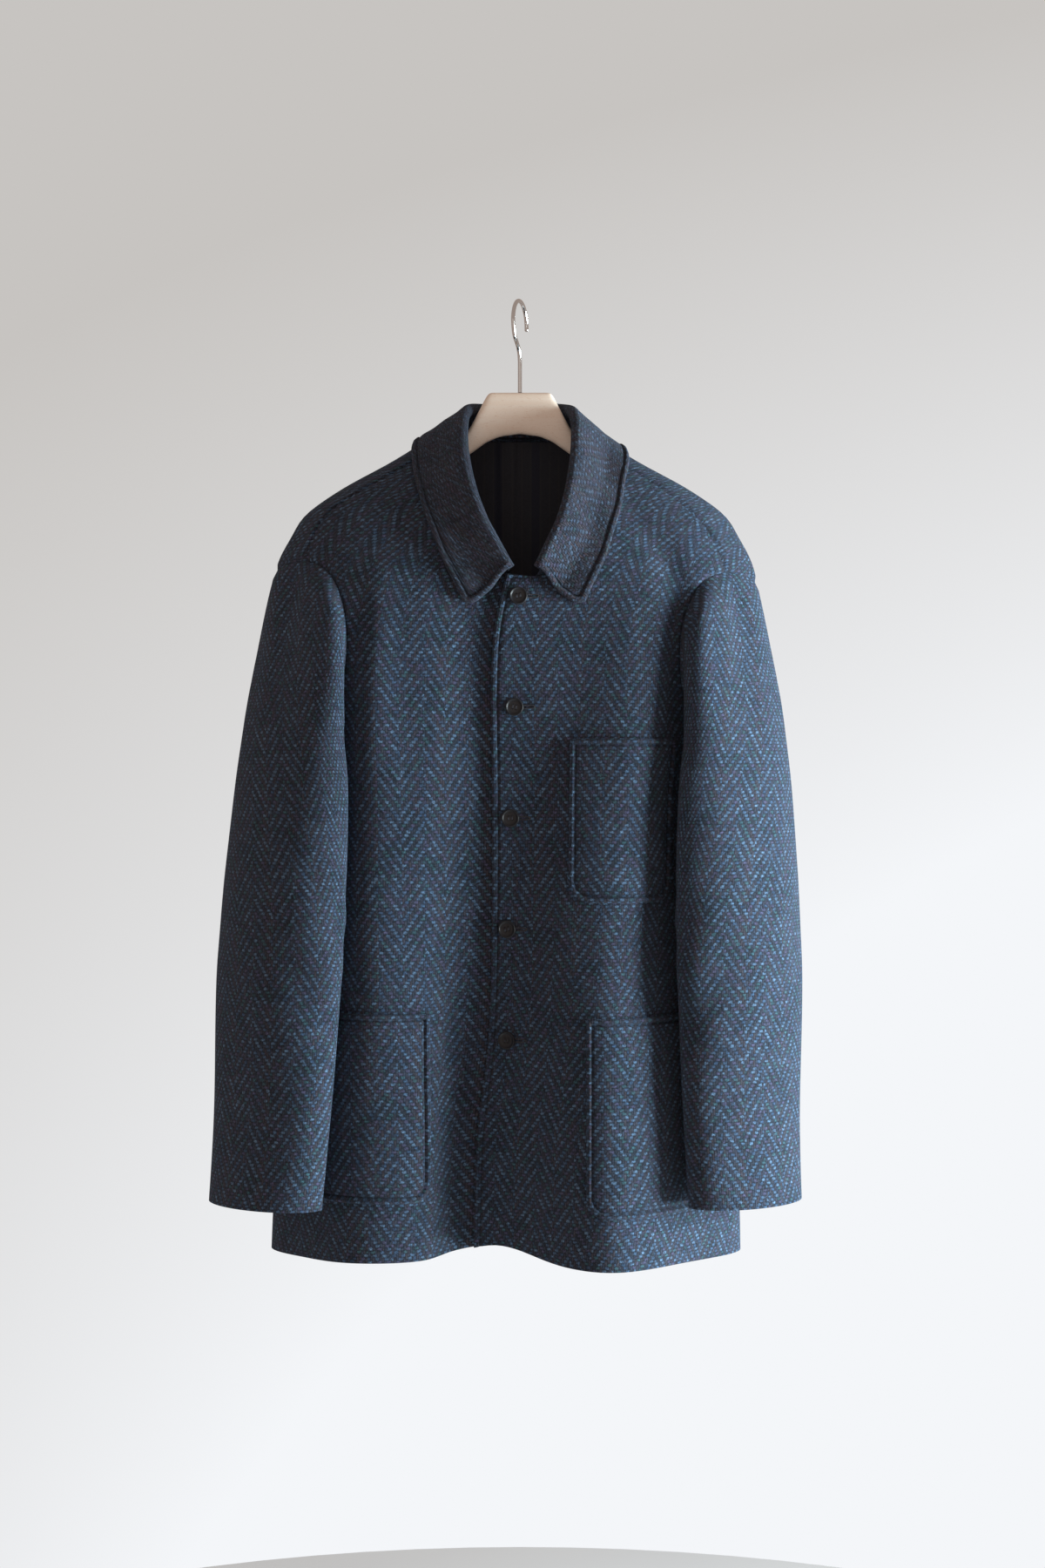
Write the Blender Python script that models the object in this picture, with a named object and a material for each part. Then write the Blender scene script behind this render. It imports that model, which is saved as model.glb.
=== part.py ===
"""A work jacket of heavy wool on a wooden hanger, modelled in metres with +Z up.

The front of the jacket faces -Y and the viewer's right is +X. The origin is the inside of the
hook's crook, at its top, where a rail carries the hanger. Left and right in the names of the
pieces are the wearer's: the wearer's left is at +X.
"""

import math

import bpy
import numpy as np
from mathutils import Vector
from mathutils.bvhtree import BVHTree

# Driving sizes
CLOTH = 0.003  # one layer of the wool
DOUBLE_CLOTH = 0.0045  # two layers pressed together, in the collar
LINING = 0.001
SEAM_GAP = 0.0003  # between two pieces that are sewn together
CUFF_Z = -0.8825
UNDERARM_Z = -0.485
BUTTON_WIDTH = 0.0175
BUTTON_STEP = 0.107  # down the front, from one button to the next
FRONT_OVERLAP = 0.042  # how far one front reaches under the other
WIRE_WIDTH = 0.004
CROOK_RADIUS = 0.023  # of the wire's middle
CROOK_TURN = math.radians(17)  # the crook's plane against the jacket's depth
WOOD_TOP_Z = -0.0896


def spline(knots, values, at, period=None):
    """The smooth curve through the values at the knots, read at other places.

    Its ends are straight, or with a period it closes on itself.
    """
    knots = np.asarray(knots, float)
    values = np.asarray(values, float)
    at = np.asarray(at, float)
    if period is not None:
        knots = np.append(knots, knots[0] + period)
        values = np.append(values, values[:1], axis=0)
        at = knots[0] + (at - knots[0]) % period
    shape = values.shape[1:]
    values = values.reshape(len(knots), -1)
    gap = np.diff(knots)
    slope = np.diff(values, axis=0) / gap[:, None]
    last = len(gap)
    system = np.zeros((last + 1, last + 1))
    right = np.zeros_like(values)
    for i in range(1, last):
        system[i, i - 1 : i + 2] = gap[i - 1], 2 * (gap[i - 1] + gap[i]), gap[i]
        right[i] = 6 * (slope[i] - slope[i - 1])
    system[0, 0] = 1
    system[last, last] = 1
    if period is not None:
        system[0, last] = -1
        system[last] = 0
        system[last, :2] = 2 * gap[0], gap[0]
        system[last, last - 1 :] = gap[-1], 2 * gap[-1]
        right[last] = 6 * (slope[0] - slope[-1])
    bend = np.linalg.solve(system, right)
    i = np.clip(np.searchsorted(knots, at, side="right") - 1, 0, last - 1)
    step = (at - knots[i])[..., None]
    width = gap[i][..., None]
    first = slope[i] - width * (2 * bend[i] + bend[i + 1]) / 6
    found = values[i] + step * (first + step * (bend[i] / 2 + step * (bend[i + 1] - bend[i]) / (6 * width)))
    return found.reshape((*at.shape, *shape))


class Table:
    """Rows of sizes under named columns. The first column says where each row stands."""

    def __init__(self, columns, *rows):
        self.columns = columns.split()
        self.rows = np.array(sorted(rows), float)

    def __call__(self, name, at):
        column = self.rows[:, self.columns.index(name)]
        return spline(self.rows[:, 0], column, at)


def along(points, count):
    """Points at equal steps along a smooth curve through the given points, ends included."""
    points = np.asarray(points, float)
    knots = np.append(0, np.cumsum(np.linalg.norm(np.diff(points, axis=0), axis=1)))
    fine = spline(knots, points, np.linspace(0, knots[-1], 40 * len(points)))
    return even(fine, count)


def even(points, count):
    """The same polyline with its points at equal steps."""
    run = np.append(0, np.cumsum(np.linalg.norm(np.diff(points, axis=0), axis=1)))
    at = np.linspace(0, run[-1], count)
    return np.stack([np.interp(at, run, column) for column in points.T], axis=1)


def unit(vectors):
    return vectors / np.linalg.norm(vectors, axis=-1, keepdims=True)


def smooth(t):
    t = np.clip(t, 0, 1)
    return t * t * (3 - 2 * t)


# The torso. Seen from above, each height has one closed ring: from the side at -X through the
# front to the side at +X, and back round. The jacket hangs a little to -X, more so lower down.
LEAN = Table(
    "z middle_x",
    (-0.95, -0.0142),
    (-0.85, -0.0128),
    (-0.74, -0.0107),
    (-0.60, -0.0083),
    (-0.48, -0.0061),
    (-0.30, -0.0050),
    (-0.10, -0.0050),
)
SIDE = Table(
    "z half_width",
    (-0.960, 0.2345),
    (-0.880, 0.2320),
    (-0.750, 0.2255),
    (-0.600, 0.2165),
    (-0.485, 0.2080),
    (-0.400, 0.2240),
    (-0.330, 0.2370),
    (-0.284, 0.2420),
    (-0.267, 0.2389),
    (-0.250, 0.2323),
    (-0.232, 0.2223),
    (-0.215, 0.2119),
    (-0.206, 0.2023),
    (-0.1975, 0.1906),
    (-0.180, 0.1626),
    (-0.163, 0.1308),
    (-0.145, 0.1010),
    (-0.120, 0.0650),
    (-0.110, 0.0520),
)
# The front has a soft ridge on each side, a flat stretch beside the one at -X, and a valley at
# the buttons. The flanks bow out between the sides and the ridges.
RING = Table(
    "z side_y ridge_a_x ridge_a_y flat_x flat_y valley_x valley_y ridge_b_x ridge_b_y bow_a bow_b back_y",
    (-0.960, 0.004, -0.167, -0.103, -0.098, -0.104, -0.046, -0.070, 0.080, -0.141, 0.010, 0.020, 0.080),
    (-0.880, 0.003, -0.166, -0.104, -0.096, -0.104, -0.044, -0.072, 0.080, -0.137, 0.010, 0.020, 0.080),
    (-0.750, 0.002, -0.162, -0.102, -0.092, -0.102, -0.038, -0.077, 0.083, -0.127, 0.008, 0.015, 0.080),
    (-0.580, 0.002, -0.157, -0.097, -0.088, -0.098, -0.026, -0.082, 0.095, -0.114, 0.004, 0.008, 0.080),
    (-0.450, 0.003, -0.155, -0.092, -0.085, -0.094, -0.014, -0.085, 0.115, -0.101, 0.004, 0.006, 0.078),
    (-0.360, 0.002, -0.158, -0.087, -0.083, -0.090, -0.006, -0.087, 0.135, -0.090, 0.012, 0.012, 0.075),
    (-0.300, 0.000, -0.160, -0.077, -0.082, -0.084, 0.000, -0.085, 0.147, -0.078, 0.017, 0.017, 0.072),
    (-0.250, 0.000, -0.155, -0.063, -0.080, -0.074, 0.000, -0.078, 0.145, -0.063, 0.016, 0.016, 0.068),
    (-0.200, 0.000, -0.132, -0.046, -0.067, -0.060, 0.000, -0.065, 0.122, -0.046, 0.012, 0.012, 0.063),
    (-0.160, 0.000, -0.088, -0.031, -0.046, -0.044, 0.000, -0.049, 0.080, -0.031, 0.008, 0.008, 0.056),
    (-0.110, 0.000, -0.038, -0.012, -0.020, -0.018, 0.000, -0.020, 0.030, -0.012, 0.004, 0.004, 0.040),
)
BACK_SHOULDER = 0.62  # where the back begins to round, as a part of the half width

TOP_Z = -0.110
BOTTOM_Z = -0.955
LEVELS = np.linspace(BOTTOM_Z, TOP_Z, 600)
ROUND = np.linspace(0, 2, 361)  # 0 at the side at -X, 1 at the side at +X, 2 is 0 again


def between(start, end, bow):
    """The point midway between two others of the ring, in its order, moved out by the bow."""
    step = end - start
    return (start + end) / 2 + bow * np.array([step[1], -step[0]]) / np.hypot(*step)


def ring(z):
    """The ring at one height: one point for each place in ROUND, evenly spaced in each half."""
    middle = LEAN("middle_x", z)
    half = SIDE("half_width", z)
    size = {name: RING(name, z) for name in RING.columns[1:]}
    side_a = np.array([middle - half, size["side_y"]])
    side_b = np.array([middle + half, size["side_y"]])
    ridge_a = np.array([size["ridge_a_x"], size["ridge_a_y"]])
    ridge_b = np.array([size["ridge_b_x"], size["ridge_b_y"]])
    points = np.array(
        [
            side_a,
            between(side_a, ridge_a, size["bow_a"]),
            ridge_a,
            (size["flat_x"], size["flat_y"]),
            (size["valley_x"], size["valley_y"]),
            ridge_b,
            between(ridge_b, side_b, size["bow_b"]),
            side_b,
            (middle + BACK_SHOULDER * half, 0.95 * size["back_y"]),
            (middle, size["back_y"]),
            (middle - BACK_SHOULDER * half, 0.95 * size["back_y"]),
        ]
    )
    steps = np.linalg.norm(np.roll(points, -1, axis=0) - points, axis=1) ** 0.75
    knots = np.append(0, np.cumsum(steps))
    front_end = knots[7]
    front = spline(knots[:-1], points, np.linspace(0, front_end, 400), knots[-1])
    back = spline(knots[:-1], points, np.linspace(front_end, knots[-1], 400), knots[-1])
    half_count = len(ROUND) // 2 + 1
    return np.concatenate([even(front, half_count)[:-1], even(back, half_count)])


RINGS = np.array([ring(z) for z in LEVELS])


def bilinear(grid, at_row, at_column):
    row = np.clip(at_row.astype(int), 0, grid.shape[0] - 2)
    column = np.clip(at_column.astype(int), 0, grid.shape[1] - 2)
    down = (at_row - row)[..., None]
    across = (at_column - column)[..., None]
    low = grid[row, column] * (1 - across) + grid[row, column + 1] * across
    high = grid[row + 1, column] * (1 - across) + grid[row + 1, column + 1] * across
    return low * (1 - down) + high * down


def torso(place, out=0.0):
    """Points of the torso's outer face at (round, z) places, moved out along its normals."""
    place = np.asarray(place, float)

    def bare(around, z):
        row = (z - BOTTOM_Z) / (TOP_Z - BOTTOM_Z) * (len(LEVELS) - 1)
        column = (around % 2) / 2 * (len(ROUND) - 1)
        return np.concatenate([bilinear(RINGS, row, column), z[..., None]], axis=-1)

    around = place[..., 0]
    z = place[..., 1]
    if np.ndim(out) == 0 and out == 0:
        return bare(around, z)
    turn = 0.004
    rise = 0.002
    across = bare(around + turn, z) - bare(around - turn, z)
    up = bare(around, z + rise) - bare(around, z - rise)
    normal = np.cross(across, up)
    normal /= np.linalg.norm(normal, axis=-1, keepdims=True)
    return bare(around, z) + normal * np.asarray(out)[..., None]


def around_at(x, z, on_back=False):
    """Where the ring at height z passes x: on the front, or on the back."""
    row = int(round((z - BOTTOM_Z) / (TOP_Z - BOTTOM_Z) * (len(LEVELS) - 1)))
    half = len(ROUND) // 2
    if on_back:
        return np.interp(-x, -RINGS[row, half:, 0], ROUND[half:])
    return np.interp(x, RINGS[row, : half + 1, 0], ROUND[: half + 1])


# Seams, as places on the torso at the +X side. on_back is 1 where a row lies on the back.
# The armhole starts under the arm and runs up the front, over the shoulder and down the back.
ARMHOLE = (
    # x from the jacket's middle, z, on_back
    (0.2300, -0.485, 0),
    (0.1975, -0.462, 0),
    (0.1800, -0.430, 0),
    (0.1665, -0.390, 0),
    (0.1620, -0.345, 0),
    (0.1680, -0.303, 0),
    (0.1840, -0.276, 0),
    (0.2060, -0.2665, 0),
    (0.2240, -0.268, 0),
    (0.2600, -0.2735, 0),
    (0.2330, -0.287, 1),
    (0.2200, -0.320, 1),
    (0.2120, -0.370, 1),
    (0.2085, -0.415, 1),
    (0.2085, -0.455, 1),
    (0.2300, -0.485, 1),
)
CREST = 7  # the armhole's row where the shoulder seam meets it
SHOULDER_SEAM = (
    # x from the jacket's middle, z
    (0.0700, -0.1345),
    (0.1000, -0.1590),
    (0.1330, -0.1800),
    (0.1690, -0.2045),
    (0.1850, -0.2190),
    (0.1970, -0.2380),
    (0.2060, -0.2665),
)
# The collar from its front end to the middle of the back: the roll at its top, the seam that
# joins it to the neck, and the free edge of the fall. All x are from the collar's middle.
COLLAR = (
    # on_back, roll_x, roll_y, roll_z, seam_x, seam_z, edge_x, edge_z
    (0, 0.0093, -0.0935, -0.2700, 0.0120, -0.2800, 0.0555, -0.3130),
    (0, 0.0205, -0.0915, -0.2505, 0.0340, -0.2665, 0.0700, -0.2890),
    (0, 0.0315, -0.0845, -0.2270, 0.0500, -0.2395, 0.0800, -0.2600),
    (0, 0.0420, -0.0725, -0.1960, 0.0610, -0.2040, 0.0925, -0.2240),
    (0, 0.0490, -0.0545, -0.1600, 0.0680, -0.1680, 0.1005, -0.1930),
    (0, 0.0510, -0.0350, -0.1300, 0.0710, -0.1400, 0.1050, -0.1680),
    (0, 0.0495, -0.0120, -0.1100, 0.0900, -0.1230, 0.1300, -0.1450),
    (1, 0.0430, 0.0130, -0.1010, 0.0560, -0.1215, 0.1000, -0.1530),
    (1, 0.0270, 0.0340, -0.0960, 0.0300, -0.1265, 0.0640, -0.1600),
    (1, 0.0000, 0.0420, -0.0945, 0.0000, -0.1280, 0.0000, -0.1630),
)
COLLAR_CORNER = COLLAR[5:8]  # where the fall passes over the shoulder
COLLAR_MIDDLE = Table("z middle_x", (-0.35, 0.004), (-0.27, 0.004), (-0.16, 0.0), (-0.09, 0.0))
UNDER_END_RISE = 0.0042  # the collar's end on the under front clears the other front's corner
NECK_HALF_WIDTH = 0.0735  # at the ridge of the shoulders
NECK_AT_SHOULDER = 5.25  # the place along the collar's rows where the shoulder seam starts
SHOULDER_DROP = {1: -0.006, -1: 0.006}  # the shoulder at +X hangs lower


def places(rows, side, first=0, last=None):
    """Rows of (x, z, on_back) as places on the torso. side is 1 at +X and -1 at -X."""
    found = []
    for x, z, *on_back in rows[first:last]:
        near_top = smooth((z - UNDERARM_Z) / 0.1)
        z = z + SHOULDER_DROP[side] * (near_top if rows is ARMHOLE else smooth((-0.17 - z) / 0.06))
        x = LEAN("middle_x", z) + side * x
        found.append((around_at(x, z, bool(on_back and on_back[0])), z))
    return np.array(found)


def unwrapped(found, near):
    """Places moved by whole turns so that they lie within one turn of the place near."""
    found = np.array(found)
    found[:, 0] += 2 * np.round((near - found[:, 0]) / 2)
    return found


def collar_line(name, side, at):
    """Places of the collar's seam or edge at steps along its rows."""
    found = []
    x_column, z_column = {"seam": (4, 5), "edge": (6, 7)}[name]
    for row in COLLAR:
        z = row[z_column]
        if name == "edge" and row in COLLAR_CORNER:
            z += SHOULDER_DROP[side] / 2
        if name == "seam" and side == -1 and row is COLLAR[0]:
            z += UNDER_END_RISE
        x = COLLAR_MIDDLE("middle_x", z) + side * row[x_column]
        found.append((around_at(x, z, bool(row[0])), z))
    found = unwrapped(found, 1 if side == 1 else 0)
    return spline(np.arange(len(COLLAR)), found, at)


# Openings down the front: the free edge of the front that laps over, and the buttons' line.
PLACKET = Table(
    "z edge_x button_x",
    (-0.95, -0.0460, -0.0200),
    (-0.90, -0.0438, -0.0175),
    (-0.82, -0.0410, -0.0140),
    (-0.75, -0.0326, -0.0120),
    (-0.69, -0.0284, -0.0118),
    (-0.60, -0.0268, -0.0115),
    (-0.47, -0.0268, -0.0070),
    (-0.39, -0.0276, -0.0045),
    (-0.346, -0.0259, -0.0030),
    (-0.315, -0.0217, -0.0018),
    (-0.290, -0.0160, -0.0012),
    (-0.275, -0.0130, -0.0010),
)
FRONT_TOP_Z = {1: -0.277, -1: -0.285}  # of the free edges: the under front is cut lower
FIRST_BUTTON_Z = -0.299
LAP_DEPTH = CLOTH + 0.0016  # how far the under front lies behind the other
LAP_FADE = 0.035  # beside the lap, over which it comes back out
LAP_MARGIN = 0.012  # how far before the free edge it's already at its depth


def lap_out(found):
    """How far the under front lies out from the torso's face at its places: in, where lapped."""
    found = np.asarray(found)
    x = torso(found)[..., 0]
    over = x - PLACKET("edge_x", found[..., 1]) + LAP_FADE + LAP_MARGIN
    return -LAP_DEPTH * smooth(over / LAP_FADE)


# The hem dips at the sides and rises towards the buttons.
HEM = Table(
    "around z",
    (-0.10, -0.9420),
    (0.00, -0.9430),
    (0.15, -0.9400),
    (0.30, -0.9370),
    (0.42, -0.9320),
    (0.47, -0.9265),
    (0.52, -0.9300),
    (0.58, -0.9370),
    (0.72, -0.9400),
    (0.88, -0.9420),
    (1.00, -0.9440),
    (1.50, -0.9400),
    (2.00, -0.9430),
    (2.10, -0.9420),
)


def patch(bottom, right, top, left):
    """A grid of places between four edges that meet at their ends. The top's shape fades fast."""
    s = np.linspace(0, 1, len(bottom))[None, :, None]
    t = np.linspace(0, 1, len(left))[:, None, None]
    sides = (1 - s) * left[:, None] + s * right[:, None]
    under = bottom[None] - (1 - s) * bottom[0] - s * bottom[-1]
    over = top[None] - (1 - s) * top[0] - s * top[-1]
    return sides + (1 - t) * under + t**3 * over


def metric(found):
    """Places with the way round in metres, so that steps along them can be compared."""
    return np.asarray(found) * (0.5, 1)


def place_line(found, count):
    return along(metric(found), count) / (0.5, 1)


SIDE_ROWS = 11  # from the hem to the underarm
ARM_FRONT_ROWS = 9  # from the underarm to the crest
NECK_ROWS = 5  # of them, along the neck
ARM_TOP_ROWS = 3  # from the crest to the shoulder's end
ARM_BACK_ROWS = 9  # from there down to the underarm
FRONT_COLUMNS = 13
LAP_COLUMNS = 2  # of the under front, which lie under the other
SHOULDER_COLUMNS = 7
BACK_NECK_COLUMNS = 9


def armhole(side):
    """Places round the armhole, from the underarm up the front, over and down the back."""
    front = place_line(places(ARMHOLE, side, 0, CREST + 1), ARM_FRONT_ROWS + 1)
    top = place_line(places(ARMHOLE, side, CREST, CREST + 3), ARM_TOP_ROWS + 1)
    back = place_line(
        unwrapped(places(ARMHOLE, side, CREST + 2), 1 if side == 1 else 0), ARM_BACK_ROWS + 1
    )
    return front, top, back


def hem_line(start, end, count):
    around = np.linspace(start, end, count)
    return np.stack([around, HEM("z", around)], axis=1)


def shoulder_seam(side):
    neck = collar_line("seam", side, np.array([NECK_AT_SHOULDER]))[0]
    found = places(SHOULDER_SEAM, side)
    crest = armhole(side)[0][-1]
    return place_line([neck, *found[1:-1], crest], SHOULDER_COLUMNS)


def front_places(side, edge_x):
    """The grid of a front: its rows run from the centre to the side, from the hem up."""
    hem_z = HEM("z", 0.47)
    lower_z = np.linspace(hem_z, UNDERARM_Z, SIDE_ROWS + 1)
    upper_z = np.linspace(UNDERARM_Z, FRONT_TOP_Z[side], ARM_FRONT_ROWS - NECK_ROWS + 1)
    edge = [(around_at(edge_x(z), z), z) for z in [*lower_z, *upper_z[1:]]]
    neck = place_line(collar_line("seam", side, np.linspace(0, NECK_AT_SHOULDER, 12)), NECK_ROWS)
    centre = np.array([*edge, *neck])
    front, _, _ = armhole(side)
    side_around = 1.0 if side == 1 else 0.0
    side_z = np.linspace(HEM("z", side_around), UNDERARM_Z, SIDE_ROWS + 1)
    outer = np.array([*((side_around, z) for z in side_z[:-1]), *front])
    outer[SIDE_ROWS, 0] = side_around
    # On the under front a column runs under the other's free edge.
    lap = around_at(PLACKET("edge_x", hem_z), hem_z)
    knots = [0, LAP_COLUMNS, FRONT_COLUMNS - 1]
    if side == 1:
        lap = centre[0, 0] + (side_around - centre[0, 0]) * LAP_COLUMNS / (FRONT_COLUMNS - 1)
    around = np.interp(np.arange(FRONT_COLUMNS), knots, [centre[0, 0], lap, side_around])
    hem = np.stack([around, HEM("z", around)], axis=1)
    centre[0, 1] = hem[0, 1]
    seam = shoulder_seam(side)
    top = np.zeros((FRONT_COLUMNS, 2))
    top[::2] = seam
    top[1::2] = (seam[1:] + seam[:-1]) / 2
    return patch(hem, outer, top, centre)


def back_places():
    """The back's grids: the main one up to the ridge of the shoulders, and a flap over each."""
    edges = {}
    for side in (1, -1):
        _, top, back = armhole(side)
        side_around = 1.0 if side == 1 else 2.0
        back = unwrapped(back, side_around)[::-1]
        top = unwrapped(top, side_around)[::-1]
        side_z = np.linspace(HEM("z", side_around), UNDERARM_Z, SIDE_ROWS + 1)
        edge = np.array([*((side_around, z) for z in side_z[:-1]), *back])
        edge[SIDE_ROWS] = side_around, UNDERARM_Z
        seam = unwrapped(shoulder_seam(side), side_around)
        neck_ridge_z = ridge_height(NECK_HALF_WIDTH)
        ridge = np.linspace(neck_ridge_z, edge[-1, 1], 40)
        ridge = place_line([(side_around, z) for z in ridge], SHOULDER_COLUMNS)
        edges[side] = edge, top, seam, ridge
    neck = np.linspace(6.0, 2 * (len(COLLAR) - 1) - 6.0, BACK_NECK_COLUMNS)
    neck = np.array([neck_place(at) for at in neck])
    neck[0] = edges[1][3][0]
    neck[-1] = edges[-1][3][0]
    top_edge = np.array([*edges[1][3][::-1], *neck[1:-1], *edges[-1][3]])
    hem = hem_line(1.0, 2.0, len(top_edge))
    main = patch(hem, edges[-1][0], top_edge, edges[1][0])
    return main, {side: flap(*edges[side][1:], side) for side in (1, -1)}


def ridge_height(half):
    """The height where the ridge of the shoulder is this far from the jacket's middle."""
    heights = LEVELS[::-1]
    widths = SIDE("half_width", heights)
    return np.interp(half, widths, heights)


def neck_place(at):
    """A place on the back of the neck seam, where at counts the collar's rows right round."""
    last = len(COLLAR) - 1
    if at <= last:
        return collar_line("seam", 1, np.array([at]))[0]
    found = collar_line("seam", -1, np.array([2 * last - at]))[0]
    return found[0] + 2, found[1]


def flap(top, seam, ridge, side):
    """The strip of the back between the ridge of a shoulder and the seam in front of it."""
    neck_steps = np.linspace(0, 1, ARM_TOP_ROWS + 1)[:, None]
    neck = ridge[0] * (1 - neck_steps) + seam[0] * neck_steps
    return patch(ridge, top, seam, neck)


# Sheets of cloth
MERGE_WIDTH = 0.0008  # points of a cut-out closer than this become one


def clipped(polygon, outline):
    """The part of a polygon inside a convex outline. The first two numbers of a corner place it."""
    for start, end in zip(outline, np.roll(outline, -1, axis=0)):
        along_edge = end - start
        side = along_edge[0] * (polygon[:, 1] - start[1]) - along_edge[1] * (polygon[:, 0] - start[0])
        kept = []
        for i, corner in enumerate(polygon):
            after = (i + 1) % len(polygon)
            if side[i] >= 0:
                kept.append(corner)
            if (side[i] >= 0) != (side[after] >= 0):
                step = side[i] / (side[i] - side[after])
                kept.append(corner + (polygon[after] - corner) * step)
        polygon = np.array(kept)
        if len(polygon) < 3:
            return np.zeros((0, 8))
    return polygon


class Sheet:
    """An open surface that grows grid by grid. Points that coincide are one."""

    def __init__(self):
        self.points = []
        self.normals = []
        self.places = []
        self.faces = []
        self.mitres = []
        self.known = {}
        self.midway = []

    def vertex(self, point, place, normal=None):
        key = tuple(np.round(point, 6))
        if key not in self.known:
            self.known[key] = len(self.points)
            self.points.append(point)
            self.places.append(place)
            self.normals.append(normal)
            self.mitres.append(1.0)
        return self.known[key]

    def grid(self, points, found=None, flip=False, closed=False, straight_top=False):
        """Adds a grid of points. found holds their places, where the sheet lies on the torso.

        With straight_top every other point of the last row goes midway between its neighbours, as
        on the piece it's sewn to, which has half the columns.
        """
        if found is None:
            found = np.zeros((*points.shape[:2], 2))
        if straight_top:
            points[-1, 1::2] = (points[-1, :-1:2] + points[-1, 2::2]) / 2
        index = np.array([[self.vertex(*corner) for corner in zip(*row)] for row in zip(points, found)])
        if straight_top:
            self.midway = list(zip(index[-1, 1::2], index[-1, :-1:2], index[-1, 2::2]))
        if closed:
            index = np.concatenate([index, index[:, :1]], axis=1)
        for i in range(index.shape[0] - 1):
            for j in range(index.shape[1] - 1):
                corners = (index[i, j], index[i, j + 1], index[i + 1, j + 1], index[i + 1, j])
                for face in self.halves(corners):
                    self.faces.append(face[::-1] if flip else face)

    def halves(self, corners):
        """A four-sided cell as two triangles, cut along its shorter diagonal."""
        a, b, c, d = corners
        first = np.linalg.norm(self.points[a] - self.points[c])
        second = np.linalg.norm(self.points[b] - self.points[d])
        return ((a, b, c), (a, c, d)) if first <= second else ((a, b, d), (b, c, d))

    def border(self):
        """The edges that only one face uses, in that face's order."""
        count = {}
        for face in self.faces:
            for a, b in zip(face, face[1:] + face[:1]):
                count[frozenset((a, b))] = count.get(frozenset((a, b)), 0) + 1
        return [
            (a, b)
            for face in self.faces
            for a, b in zip(face, face[1:] + face[:1])
            if count[frozenset((a, b))] == 1
        ]

    def pull_in(self, distance):
        """Moves the border in along the surface, which leaves room for the sewn neighbour."""
        points = np.array(self.points)
        inward = {}
        for a, b in self.border():
            face = next(f for f in self.faces if a in f and b in f)
            edge = unit(points[b] - points[a])
            away = points[list(face)].mean(axis=0) - points[a]
            away = unit(away - edge * (away @ edge))
            for i in (a, b):
                aside = away - self.normals[i] * (away @ self.normals[i])
                inward.setdefault(i, []).append(unit(aside))
        for i, (first, second) in inward.items():
            self.points[i] = points[i] + (first + second) / max(1 + first @ second, 0.6) * distance

    def piece(self, outline):
        """The part of this sheet inside a convex outline of places, which runs anticlockwise."""
        made = Sheet()
        corners = np.concatenate([self.places, self.points, self.normals], axis=1)
        for face in self.faces:
            polygon = clipped(corners[list(face)], outline)
            index = [made.vertex(corner[2:5], corner[:2], corner[5:]) for corner in polygon]
            made.faces += [(index[0], b, c) for b, c in zip(index[1:], index[2:])]
        made.merge(MERGE_WIDTH)
        return made

    def merge(self, width):
        """Makes one point of those that lie closer together than width."""
        points = np.array(self.points)
        same = np.arange(len(points))
        for i in range(len(points)):
            near = np.linalg.norm(points[:i] - points[i], axis=1) < width
            if near.any():
                same[i] = same[np.argmax(near)]
        self.faces = [tuple(int(same[i]) for i in face) for face in self.faces]
        self.faces = [face for face in self.faces if len(set(face)) == 3]
        used = sorted({i for face in self.faces for i in face})
        renamed = {old: new for new, old in enumerate(used)}
        self.faces = [tuple(renamed[i] for i in face) for face in self.faces]
        self.points = [self.points[i] for i in used]
        self.normals = [self.normals[i] for i in used]
        self.mitres = [self.mitres[i] for i in used]
        self.places = [self.places[i] for i in used]

    def wall(self, thickness, lift=0.0):
        """The points and faces of a closed wall whose outer face is this sheet, moved out by lift."""
        outer = np.array(self.points) + np.array(self.normals) * lift
        inner = outer - np.array(self.normals) * np.array(self.mitres)[:, None] * thickness
        count = len(outer)
        faces = [tuple(f) for f in self.faces]
        faces += [tuple(count + i for i in f[::-1]) for f in self.faces]
        for a, b in self.border():
            # Cut alike on both sides of a seam, whose rims would touch otherwise
            if outer[a, 2] + outer[a, 1] > outer[b, 2] + outer[b, 1]:
                faces += [(b, a, b + count), (a, a + count, b + count)]
            else:
                faces += [(b, a, a + count), (b, a + count, b + count)]
        return np.concatenate([outer, inner]), faces


def torso_sheet(*grids, out=0.0, straight_top=False):
    """A sheet of grids of places on the torso. Each comes with whether it runs the other way."""
    sheet = Sheet()
    for found, flip in grids:
        sheet.grid(torso(found, out), found, flip, straight_top=straight_top)
    return sheet


def material(name, colour, roughness, metallic=0.0):
    made = bpy.data.materials.new(name)
    made.use_nodes = True
    shader = made.node_tree.nodes["Principled BSDF"]
    shader.inputs["Base Color"].default_value = (*colour, 1)
    shader.inputs["Roughness"].default_value = roughness
    shader.inputs["Metallic"].default_value = metallic
    return made


def neck_line(sheets, over, under, main, flaps):
    """The panels' edges round the neck: places, points and normals, from the end at +X."""
    neck = main[-1, SHOULDER_COLUMNS:-SHOULDER_COLUMNS]
    left = over[-NECK_ROWS:, 0]
    right = under[: -NECK_ROWS - 1 : -1, 0]
    outs = np.zeros(NECK_ROWS + 2 * ARM_TOP_ROWS + len(neck) + NECK_ROWS)
    outs[-NECK_ROWS:] = lap_out(right)
    found = np.concatenate([left, flaps[1][-2::-1, 0], neck, flaps[-1][:-1, 0], right + (2, 0)])
    points = torso(found, outs)
    known = {key: sheet.normals[i] for sheet in sheets for key, i in sheet.known.items()}
    return found, points, np.array([known[tuple(np.round(point, 6))] for point in points])


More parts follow.
